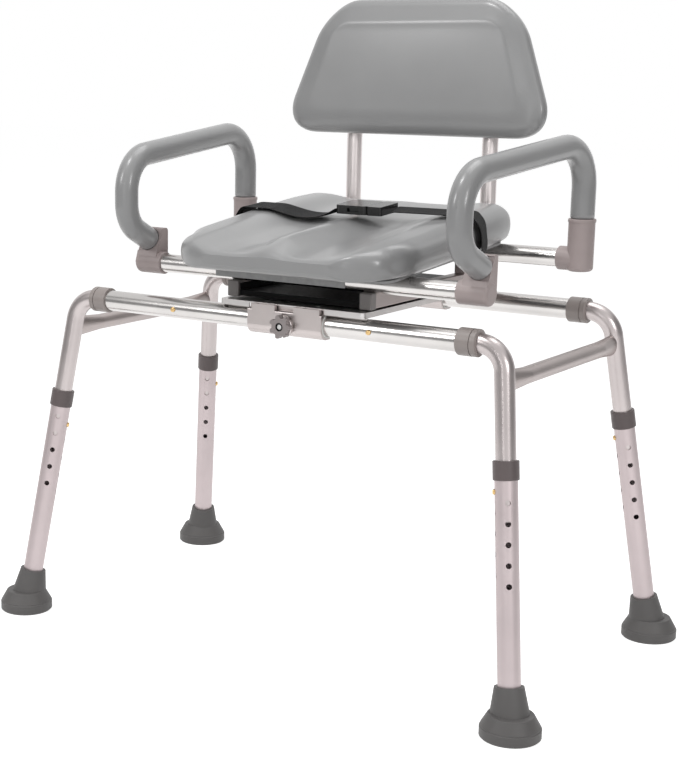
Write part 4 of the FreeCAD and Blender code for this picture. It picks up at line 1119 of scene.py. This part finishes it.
@dataclass
class Studio:
    """Pale floor, soft lamps, two grey cards and the camera."""

    eye: tuple[float, float, float] = (1.1996, -1.9537, 0.8141)
    azimuth: float = 36.63
    elevation: float = 12.96
    roll: float = 0.13
    focal: float = 1643.6
    axis_px: tuple[float, float] = (192.1, 429.0)
    sensor: float = 36.0
    clip: tuple[float, float] = (0.05, 60.0)
    world_strength: float = 0.34
    floor_colour: float = 0.80
    floor_roughness: float = 0.9
    floor_glow: float = 0.78
    card_radius: float = 3.7
    card_tall: float = 3.6
    card_turns: tuple[float, float] = (34.0, 116.0)
    card_glow: float = 0.34
    card_folds: int = 24
    floor_half: float = 12.0
    target: tuple[float, float, float] = (0.0, 0.0, 0.5)

    def camera(self) -> None:
        """Set the camera where the photograph was taken from."""
        az, el, roll = (math.radians(angle) for angle in (self.azimuth, self.elevation, self.roll))
        ahead = Vector((-math.sin(az) * math.cos(el), math.cos(az) * math.cos(el), -math.sin(el)))
        right = Vector((math.cos(az), math.sin(az), 0.0))
        up = right.cross(ahead)
        right, up = (right * math.cos(roll) + up * math.sin(roll),
                     up * math.cos(roll) - right * math.sin(roll))
        data = bpy.data.cameras.new("camera")
        data.sensor_width = self.sensor
        longest = max(IMAGE_WIDE, IMAGE_TALL)
        data.lens = self.focal * data.sensor_width / longest
        data.shift_x = (IMAGE_WIDE / 2.0 - self.axis_px[0]) / longest
        data.shift_y = (self.axis_px[1] - IMAGE_TALL / 2.0) / longest
        data.clip_start, data.clip_end = self.clip
        camera = bpy.data.objects.new("camera", data)
        bpy.context.scene.collection.objects.link(camera)
        turn = Matrix((right, up, -ahead)).transposed().to_4x4()
        camera.matrix_world = Matrix.Translation(Vector(self.eye)) @ turn
        bpy.context.scene.camera = camera

    def lamp(self, lamp: Lamp) -> None:
        """Hang one lamp.

        Args:
            lamp: which one.
        """
        data = bpy.data.lights.new(lamp.name, "AREA")
        data.shape = "RECTANGLE"
        data.size, data.size_y = lamp.size
        data.energy = lamp.power
        hung = bpy.data.objects.new(lamp.name, data)
        bpy.context.scene.collection.objects.link(hung)
        hung.location = lamp.place
        hung.rotation_euler = (Vector(self.target) - Vector(lamp.place)).to_track_quat("-Z", "Y").to_euler()

    def seen_rays(self, tree: bpy.types.NodeTree) -> bpy.types.NodeSocket:
        """Factor that is 1 for what the camera sees itself, in gloss or through glass.

        Args:
            tree: the node tree.

        Returns:
            The socket that holds the factor.
        """
        path = tree.nodes.new("ShaderNodeLightPath")
        last = path.outputs["Is Camera Ray"]
        for name in ("Is Glossy Ray", "Is Transmission Ray"):
            both = tree.nodes.new("ShaderNodeMath")
            both.operation = "MAXIMUM"
            tree.links.new(last, both.inputs[0])
            tree.links.new(path.outputs[name], both.inputs[1])
            last = both.outputs["Value"]
        return last

    def world(self) -> None:
        """White surroundings that light the bench softly."""
        world = bpy.data.worlds.new("studio")
        bpy.context.scene.world = world
        world.use_nodes = True
        tree = world.node_tree
        tree.nodes.clear()
        light = tree.nodes.new("ShaderNodeBackground")
        light.inputs["Strength"].default_value = self.world_strength
        seen = tree.nodes.new("ShaderNodeBackground")
        seen.inputs["Color"].default_value = (1.0, 1.0, 1.0, 1.0)
        mix = tree.nodes.new("ShaderNodeMixShader")
        output = tree.nodes.new("ShaderNodeOutputWorld")
        tree.links.new(self.seen_rays(tree), mix.inputs["Fac"])
        tree.links.new(light.outputs["Background"], mix.inputs[1])
        tree.links.new(seen.outputs["Background"], mix.inputs[2])
        tree.links.new(mix.outputs["Shader"], output.inputs["Surface"])

    def floor(self) -> None:
        """Pale floor that keeps the bench's shadow."""
        bm = bmesh.new()
        bmesh.ops.create_grid(bm, x_segments=1, y_segments=1, size=self.floor_half)
        floor = smooth_piece("floor", bm)
        recipe = Recipe("pale_floor")
        recipe.set(Roughness=self.floor_roughness, Specular_IOR_Level=0.0)
        recipe.shader.inputs["Base Color"].default_value = (*(self.floor_colour,) * 3, 1.0)
        glow = recipe.add("Emission")
        glow.inputs["Strength"].default_value = self.floor_glow
        add = recipe.add("AddShader")
        mix = recipe.add("MixShader")
        recipe.join(self.seen_rays(recipe.tree), mix.inputs["Fac"])
        recipe.join(recipe.shader.outputs["BSDF"], mix.inputs[1])
        recipe.join(recipe.shader.outputs["BSDF"], add.inputs[0])
        recipe.join(glow.outputs["Emission"], add.inputs[1])
        recipe.join(add.outputs["Shader"], mix.inputs[2])
        recipe.join(mix.outputs["Shader"], recipe.tree.nodes["Material Output"].inputs["Surface"])
        dress(floor, recipe.material)

    def card(self, side: Side) -> None:
        """Stand a grey card at one side, which only shiny surfaces see, so that tubes show dark bands.

        Args:
            side: of the camera's line.
        """
        name = side.name.lower() + "_card"
        bm = bmesh.new()
        near, far = (math.radians(angle) for angle in self.card_turns)
        aim = math.radians(self.azimuth - 90.0)
        first = aim + side.value * near
        start = Vector((math.cos(first), math.sin(first), 0.0)) * self.card_radius
        low = bm.verts.new(start)
        high = bm.verts.new(start + Vector((0.0, 0.0, self.card_tall)))
        edge = bm.edges.new((low, high))
        bmesh.ops.spin(bm, geom=[low, high, edge], cent=(0, 0, 0), axis=(0, 0, 1), dvec=(0, 0, 0),
                       angle=side.value * (far - near), steps=self.card_folds, use_merge=False,
                       use_normal_flip=False, use_duplicate=False)
        card = smooth_piece(name, bm)
        recipe = Recipe(name + "_grey")
        recipe.set(Roughness=1.0, Specular_IOR_Level=0.0, Emission_Strength=self.card_glow)
        recipe.shader.inputs["Base Color"].default_value = (0.0, 0.0, 0.0, 1.0)
        recipe.shader.inputs["Emission Color"].default_value = (1.0, 1.0, 1.0, 1.0)
        dress(card, recipe.material)
        card.visible_camera = card.visible_diffuse = card.visible_shadow = False
        card.visible_transmission = card.visible_volume_scatter = False

    def build(self) -> None:
        """Set up the camera, world, floor, cards and lamps."""
        bpy.context.scene.view_settings.view_transform = "Standard"
        self.camera()
        self.world()
        self.floor()
        for side in Side:
            self.card(side)
        for lamp in LAMPS:
            self.lamp(lamp)


# Finish of each kind of node, by the start of the node's name.
NODE_FINISHES = {
    "rail": ("front_rail", "rear_rail", "front_cross_tube", "rear_cross_tube"),
    "leg": ("leg_bend_", "arm_tube_"),
    "lower_leg": ("lower_leg_tube_",),
    "cross": ("side_braces", "seat_bars"),
    "sheet": ("slide_plate",),
    "slider": ("front_slider", "rear_slider"),
    "post": ("back_posts",),
    "knob": ("lock_knob",),
    "grey": ("rear_brackets", "arm_cradles", "arm_sockets"),
    "collar": ("rail_end_collars",),
    "cap": ("bar_end_caps",),
    "dark": ("leg_collar_",),
    "rubber": ("leg_foot_",),
    "liner": ("slider_liners",),
    "pad": ("clamp_pad", "belt_strap_"),
    "board": ("back_board",),
    "buckle": ("buckle_",),
    "foam": ("seat_cushion", "back_pad", "arm_foam_"),
    # The pan's grey and the tray's black below are partly painted shade.
    "pan": ("seat_pan",),
    "black": ("turntable_tray",),
    "steel": ("carriage_fasteners", "turntable_lower_race", "turntable_upper_race", "turntable_balls",
              "pivot_bolt"),
    "brass": ("leg_clip_", "rail_clip_"),
}


@dataclass(frozen=True)
class Hardware:
    """Every node of the frame, with the finish that it has on the real bench."""

    finishes: Finishes

    def dress(self, nodes: dict[str, bpy.types.Object]) -> None:
        """Dress every node.

        Args:
            nodes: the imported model's nodes.
        """
        for name, piece in nodes.items():
            for finish, starts in NODE_FINISHES.items():
                if name.startswith(starts):
                    dress(piece, getattr(self.finishes, finish))
                    LOG.info("dressed %s with its %s finish", name, finish)
                    break
            else:
                LOG.warning("no finish for %s", name)


def main() -> None:
    """Build the scene."""
    logging.basicConfig(level=logging.INFO, format="%(message)s")
    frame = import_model()
    finishes = Finishes()
    Studio().build()
    Hardware(finishes).dress(frame["nodes"])
    cushion = SeatCushion()
    pieces = [cushion.build(finishes.foam), BackPad().build(finishes.foam)]
    pieces += [ArmSleeve(side).build(finishes.foam) for side in Side]
    pieces += LapBelt(cushion).build(finishes.webbing)
    for piece in pieces:
        LOG.info("made %s with %d faces", piece.name, len(piece.data.polygons))


if __name__ == "__main__":
    main()
